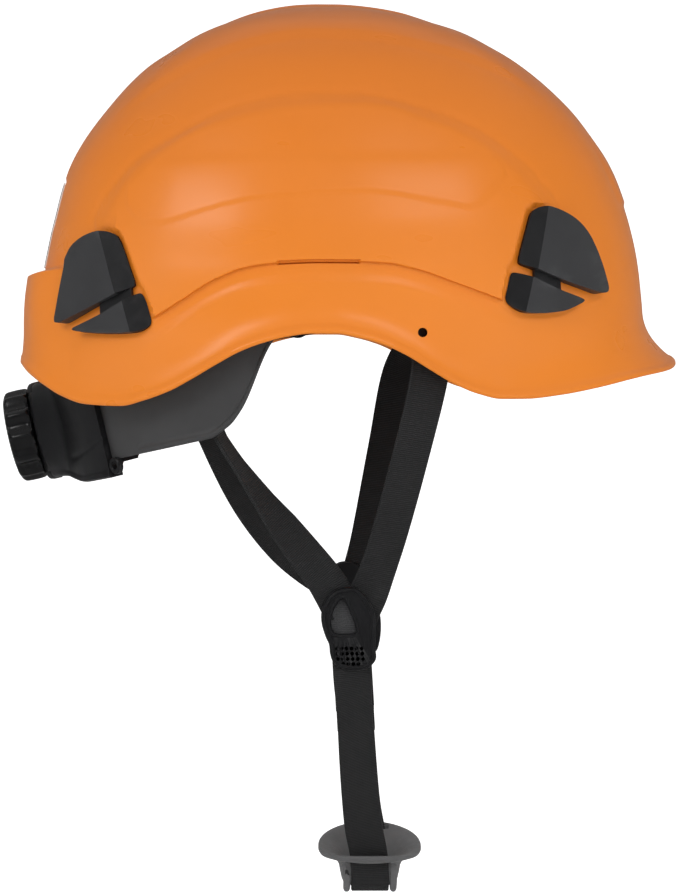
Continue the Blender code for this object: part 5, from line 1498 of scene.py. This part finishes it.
# the knob's sections: (distance along the axis, radius)
GRIP_PROFILE = (
    [(100.0, 4.3), (100.0, 14.0), (100.0, 17.4), (100.15, 18.2), (100.6, 18.9), (101.2, 19.3),
     (102.0, 19.45)]
    + [(s, 19.45 + 0.12 * math.sin(PI * (s - 102) / 6.6)) for s in np.linspace(102.8, 108.6, 9)]
    + [(109.3, 19.35), (109.9, 19.1), (110.4, 18.7), (110.9, 18.0), (111.25, 17.0),
       (111.45, 15.8), (111.6, 14.2), (111.7, 12.5), (111.3, 12.1), (111.3, 11.6),
       (111.75, 11.2), (111.85, 9.4), (111.7, 8.3), (111.2, 8.1), (109.5, 8.1), (109.5, 3.6),
       (105.8, 3.6), (105.8, 1.8), (103.4, 1.8), (103.4, 4.3)])
CAP_PROFILE = [
    (109.9, 7.75), (111.3, 7.75), (111.75, 7.4), (112.0, 6.7), (112.05, 6.0), (111.7, 5.6),
    (111.7, 5.2), (112.1, 4.9), (112.3, 3.0), (112.35, 0.3)]
SCALLOPS = 12


def scalloped(angles, distance, radius):
    """The grip's outer radius, dipping between the finger lobes."""
    if radius < 15:
        return radius
    dip = (0.5 - 0.5 * np.cos(SCALLOPS * angles)) ** 0.8
    wall = smooth(100.4, 101.6, distance) * (1 - smooth(109.6, 111.2, distance))
    return radius - 1.75 * dip * wall - 0.25 * dip * (radius > 16)


def turned(profile, count, shape=None):
    """Rings about the knob's axis; shape may vary the radius round a ring."""
    angles = turn_angles(count)
    spokes = np.cos(angles)[:, None] * np.array([1.0, 0, 0]) + np.sin(angles)[:, None] * BAND_UP
    rings = []
    for distance, radius in profile:
        radii = shape(angles, distance, radius) if shape else radius
        rings.append(axis_point(distance) + np.broadcast_to(radii, (count,))[:, None] * spokes)
    return rings


def build_knob():
    piece("ratchet_knob_grip", loft(turned(GRIP_PROFILE, 288, scalloped), closed=True), GLOSS,
          "adjuster_knob", "ratchet_knob", sharp=48)
    piece("knob_cap_disc", loft(turned(CAP_PROFILE, 96)), GLOSS, "adjuster_knob",
          "knob_cap", sharp=45)
    carry("knob_screw", STEEL)
    carry("pinion", PINION)


def arm_edges(degrees, left):
    """How far the tongue has widened to the panel, and the panel's low and high edges.
    left is 1 on the wearer's left and 0 on the right, whose outlines differ."""
    widened = smooth(32.4, 33.6, degrees)
    high_at = degrees + 2.4 * left * smooth(60, 70, degrees)
    low_at = high_at - 2.2 * (1 - left) * smooth(60, 72, high_at)
    low = -17.5 + 5.0 * smooth(71, 81, low_at) + 30.0 * smooth(77, 97, low_at)
    high = 11.2 + 3.0 * smooth(52, 60, high_at) + 15.0 * smooth(74, 90, high_at)
    nose = np.clip(high_at - 108, 0, None)
    return widened, low + nose * 0.9 + 1.5 * left, high - nose * 0.9


def arm_strip(side):
    """Arm from its toothed-band tongue at the back to the side panel with a raised border."""
    right = side < 0
    tongue_low, tongue_high = (5.85, 11.2) if right else (-11.2, -5.85)
    border_at = np.array([0, 0.12, 0.4, 0.9, 1.6, 2.1, 2.5])
    border_rise = np.array([0.0, 0.35, 0.55, 0.62, 0.62, 0.45, 0.0])
    stations = np.concatenate([np.arange(-14, 32, 1.0), np.arange(32.2, 34, 0.3),
                               np.arange(34.2, 113.6 if right else 109.6, 0.5)])
    rings = []
    for degrees in stations:
        widened, panel_low, panel_high = arm_edges(degrees, 0 if right else 1)
        low = tongue_low + (panel_low - tongue_low) * widened
        high = tongue_high + (panel_high - tongue_high) * widened
        width = high - low
        full = float(smooth(50.8, 53.6, degrees))
        alpha = math.radians(degrees)
        border = border_at * min(1, width / 8)
        rise = border_rise * full * float(1 - smooth(92, 97, degrees))
        middle = np.linspace(border[-1], width - border[-1], 13)[1:-1]
        h = np.concatenate([low + border, low + middle, (high - border)[::-1]])
        rise = np.concatenate([rise, np.zeros(11), rise[::-1]])
        rounding = -0.25 * (1 - smooth(0, 0.35, np.minimum(h - low, high - h))) * full
        outer = band_point(side, alpha, BAND_RADIUS + ARM_THICKNESS + rise + rounding, h)
        inner = band_point(side, alpha, BAND_RADIUS,
                           np.array([high, high - width / 3, low + width / 3, low]))
        rings.append(np.concatenate([outer, inner]))
    return loft(rings)


def stud_slot(side):
    """Long slot round the side stud."""
    offset = np.array([0, STUD_Y, STUD_Z]) - BAND_CENTRE
    stud_angle = math.degrees(math.acos(offset @ BAND_AXIS / (BAND_RADIUS + ARM_THICKNESS / 2)))
    stud_height = offset @ BAND_UP
    ring = []
    for b in turn_angles(48):
        cos = math.cos(b)
        ring.append((math.radians(stud_angle + np.sign(cos) * 8.4 + 2.3 * cos),
                     stud_height + 3.3 * math.sin(b)))
    return loft([[band_point(side, alpha, radius, h) for alpha, h in ring]
                 for radius in (BAND_RADIUS - 4, BAND_RADIUS + 6)])


def panel_dimple(side):
    """Moulded dimple low on the panel."""
    return loft([[band_point(side, math.radians(44.2 + radius * math.cos(b) / BAND_DEGREE_MM),
                             BAND_RADIUS + ARM_THICKNESS + rise, -6.0 + radius * math.sin(b))
                  for b in turn_angles(20)] for rise, radius in ((0.25, 1.5), (2.0, 2.2))])


def build_arms():
    for side, tag in SIDES:
        body = "nape_arm_" + tag
        ob = piece(body + "_panel", arm_strip(side), PANEL, body, body,
                   sharp=50)
        cut(ob, "slot_" + tag, stud_slot(side))
        cut(ob, "dimple_" + tag, panel_dimple(side))
        bake(ob)


# ================================================================ pads and suspension
def cushion(point, rows, cols, outer, inner, channels, edge):
    """Crowned pad: point(u, v, off) with u, v in 0..1 and off across the thickness, from
    outer to inner. channels are sewn lines at u; edge is the share of the pad that rounds."""
    u, v = np.meshgrid(np.linspace(0, 1, rows), np.linspace(0, 1, cols), indexing="ij")

    def crown(x):
        d = np.minimum(x, 1 - x) / edge
        return np.sqrt(np.clip(1 - (1 - np.clip(d, 0, 1)) ** 2, 0, 1))

    fullness = crown(u) * crown(v)
    for at in channels:
        fullness = fullness * (1 - 0.55 * np.exp(-((u - at) / 0.012) ** 2))
    middle = (outer + inner) / 2
    return closed_sheet(point(u, v, middle + (outer - middle) * fullness),
                        point(u, v, middle + (inner - middle) * fullness))


def build_nape_pad():
    def point(u, v, off):
        degrees = -31.5 + 63 * u
        ends = 3 * smooth(20, 32, np.abs(degrees))
        low, high = -14.6 + ends, 11.6 - ends
        return band_point(1, np.radians(degrees), off, low + (high - low) * v)

    shape = cushion(point, 121, 34, outer=84.7, inner=80.7, channels=(0.2, 0.4, 0.6, 0.8),
                    edge=0.12)
    piece("nape_cushion", shape, PAD, "nape_cradle", "nape_pad", sharp=0)


# the headband's plan is an ellipse, rising towards the front
BAND_HALF_X, BAND_HALF_Y, BAND_MIDDLE_Y, HEADBAND_HEIGHT = 90.5, 125.0, 18.0, 26.0


def headband_point(degrees, off, height):
    """Point at an angle from the front, off the band outwards."""
    angle = np.radians(degrees)
    x = BAND_HALF_X * np.sin(angle)
    y = BAND_MIDDLE_Y - BAND_HALF_Y * np.cos(angle)
    normal_x, normal_y = np.sin(angle) / BAND_HALF_X, -np.cos(angle) / BAND_HALF_Y
    size = np.hypot(normal_x, normal_y)
    x, y = x + normal_x / size * off, y + normal_y / size * off
    z = -90.0 + (BAND_MIDDLE_Y - y) * 0.176 + height
    return np.stack(np.broadcast_arrays(x, y, z), -1)


def build_headband():
    """Headband with a raised border, stud holes and adjustment windows."""
    offsets = np.array([0.3, 0.8, 0.8, 0.35, 0.35, 0.35, 0.8, 0.8, 0.3])
    rings = []
    for degrees in np.linspace(-94, 94, 377):
        h = HEADBAND_HEIGHT / 2 - 2.5 * float(smooth(60, 94, abs(degrees)))
        heights = np.array([-h, -h + 0.5, -h + 2.2, -h + 2.7, 0, h - 2.7, h - 2.2, h - 0.5, h])
        rings.append(np.concatenate([headband_point(degrees, offsets, heights),
                                     headband_point(degrees, -0.8, np.array([h, 0, -h]))]))
    ob = piece("headband_strip", loft(rings), BLACK, "helmet_shell",
               "headband_front", sharp=45)
    for side, tag in SIDES:
        cut(ob, "stud_" + tag, loft([disc(side * x, STUD_Y, STUD_Z, 3.2, 32)
                                     for x in (84, 97)]))
    for i, degrees in enumerate((-66, -56, 56, 66)):
        cut(ob, "window_%d" % i, loft([
            [headband_point(degrees + 2.6 * math.cos(b), off, 2.2 * math.sin(b))
             for b in turn_angles(24)] for off in (-3, 3)]))
    bake(ob)


def build_sweatband():
    def point(u, v, off):
        degrees = -53.5 + 107 * u
        half = 14.3 - 2.5 * smooth(35, 54, np.abs(degrees))
        return headband_point(degrees, off, -half + 2 * half * v)

    shape = cushion(point, 241, 34, outer=-1.35, inner=-4.6,
                    channels=np.linspace(0.09, 0.91, 10), edge=0.05)
    piece("sweatband_cushion", shape, PAD, "helmet_shell", "sweatband", sharp=0)


# the crown pad's section, quilted in rings: (share of the half size, height)
CROWN_RINGS = [
    (0.02, 0.75), (0.2, 0.55), (0.36, 0.25), (0.42, 0.7), (0.48, 0.25), (0.7, 0.15),
    (0.78, 0.55), (0.84, 0.3), (0.93, 0.55), (0.98, 1.3), (1.0, 2.4), (1.0, 3.6), (0.98, 4.7),
    (0.93, 5.4), (0.84, 5.7), (0.5, 5.85), (0.02, 5.9)]
CROWN_HALF_X, CROWN_HALF_Y = 29, 31
# a crown strap from its middle to one end: (distance from the axis, height below the top)
CROWN_STRAP = [(0, 0), (24, -0.3), (40, -4.2), (59, -18), (73, -38), (80, -54), (82.5, -64.0)]


def build_crown():
    shape = loft([[(CROWN_HALF_X * k * math.cos(b), CROWN_HALF_Y * k * math.sin(b), z)
                   for b in turn_angles(120)] for k, z in CROWN_RINGS])
    piece("crown_cushion", shape, PAD, "helmet_shell", "crown_pad", sharp=0)
    half = curve_through(CROWN_STRAP, 12)
    line = np.concatenate([half[::-1] * [-1, 1], half[1:]])
    diagonal = math.cos(PI / 4)
    for name, sign, top in (("crown_strap_a", 1, 12.0), ("crown_strap_b", -1, 9.3)):
        x, y = sign * diagonal, -diagonal
        path = [(x * r, y * r, top + z) for r, z in line]
        strap_piece(name + "_webbing", path, (-y, x, 0), replaces=name, width=18.0)


def build_suspension():
    build_headband()
    build_sweatband()
    build_crown()
    for which in ("front", "rear"):
        for _, tag in SIDES:
            carry("suspension_key_%s_%s" % (which, tag), BLACK, 0.8)
            carry("strap_anchor_%s_%s" % (which, tag), BLACK, 0.6)
    for _, tag in SIDES:
        carry("side_stud_" + tag, BLACK, 0.4)


# ================================================================ room, light, camera
# the floor sweeps up far away on every side: (radius, height), in metres
FLOOR_PROFILE = [(0.0, 0.0), (3.5, 0.0), (4.4, 0.12), (5.2, 0.5), (5.8, 1.2), (6.1, 2.2),
                 (6.2, 6.0)]


def studio_paper():
    """Near white when seen directly, dim when mirrored in the part."""
    s = Shader("studio_paper")
    rays = s.node("ShaderNodeLightPath")
    paper = s.mix(s.noise(s.place, scale=3.0, detail=2), (0.93, 0.93, 0.93),
                  (0.97, 0.97, 0.97))
    return s.finish({
        "Base Color": s.mix(rays.outputs["Is Glossy Ray"], paper, (0.40, 0.40, 0.40)),
        "Roughness": 0.9,
        "Emission Color": (1, 1, 1),
        "Emission Strength": s.math("MULTIPLY", rays.outputs["Is Camera Ray"], 0.7)})


def build_room():
    material = studio_paper()
    columns = 64
    floor_z = BOX_LO.z - 0.06
    verts = [(radius * math.cos(2 * PI * k / columns), radius * math.sin(2 * PI * k / columns),
              floor_z + height) for radius, height in FLOOR_PROFILE for k in range(columns)]
    data = bpy.data.meshes.new("studio_floor")
    data.from_pydata(verts, [], grid_faces(len(FLOOR_PROFILE), columns, close_cols=True))
    data.shade_smooth()
    data.materials.append(material)
    ob = bpy.data.objects.new("studio_floor", data)
    bpy.context.scene.collection.objects.link(ob)

    world = bpy.data.worlds.new("studio_world")
    bpy.context.scene.world = world
    world.use_nodes = True
    nodes = Nodes(world.node_tree)
    background = world.node_tree.nodes["Background"]
    nodes.feed(background.inputs[0], (1, 1, 1))
    glossy = nodes.node("ShaderNodeLightPath").outputs["Is Glossy Ray"]
    # weaker in mirror images
    nodes.feed(background.inputs[1], nodes.remap(glossy, (0, 1), (0.63, 0.44)))


# the camera looks at the wearer's right side, towards a point AIM_DROP below it on the axis
CAMERA = np.array([-1300.0, -4.28, -102.0])
AIM_DROP = 45.2


def area_light(name, place, aim, width, height, power):
    """Rectangular light; place and sizes in metres, aim any length."""
    data = bpy.data.lights.new(name, "AREA")
    data.shape = "RECTANGLE"
    data.size = width
    data.size_y = height
    data.energy = power
    ob = bpy.data.objects.new(name, data)
    ob.location = place
    ob.rotation_euler = aim.to_track_quat("-Z", "Y").to_euler()
    bpy.context.scene.collection.objects.link(ob)
    return ob


def softbox(name, angle, z, power):
    """Area light placed where the shell mirrors it at (plan angle, height)."""
    distance, width, height = 1300, 620, 300
    point, normal = shell_at(angle, z, -1)
    view = unit(point - CAMERA)
    mirrored = view - 2 * (view @ normal) * normal
    place = point + mirrored * distance
    area_light(name, Vector(place) * MM, Vector(point) - Vector(place),
               width=width * MM, height=height * MM, power=power)


def build_light():
    softbox("soft_left", angle=29.5, z=-49.0, power=3.6)
    softbox("soft_right", angle=-22.5, z=-42.0, power=2.2)
    # a broad soft key beside the viewer and two fills, for the front and the rear;
    # they light the part but leave no mirror image. (name, power, place in metres)
    middle = Vector((0, 0, -0.12))
    for name, power, place in (
        ("soft_key", 5.4, (-1.55, -0.75, -0.15)),
        ("soft_front", 5.3, (-0.70, -1.45, -0.10)),
        ("soft_rear", 5.1, (-0.70, 1.45, -0.10)),
    ):
        place = Vector(place)
        light = area_light(name, place, middle - place, width=1.5, height=1.1, power=power)
        light.visible_glossy = False


def build_camera():
    data = bpy.data.cameras.new("view")
    data.sensor_width = 36.0
    data.lens = 122.56
    data.clip_start, data.clip_end = 0.01, 30
    ob = bpy.data.objects.new("view", data)
    ob.location = Vector(CAMERA) * MM
    ob.rotation_euler = (PI / 2 - math.atan(AIM_DROP / -CAMERA[0]), 0, -PI / 2)
    scene = bpy.context.scene
    scene.collection.objects.link(ob)
    scene.camera = ob
    scene.view_settings.view_transform = "Standard"
    scene.view_settings.look = "None"


build_shell()
build_liner()
build_tape()
build_clips()
build_side_straps()
build_sliders()
build_chin()
build_cradle()
build_suspension()
build_room()
build_light()
build_camera()
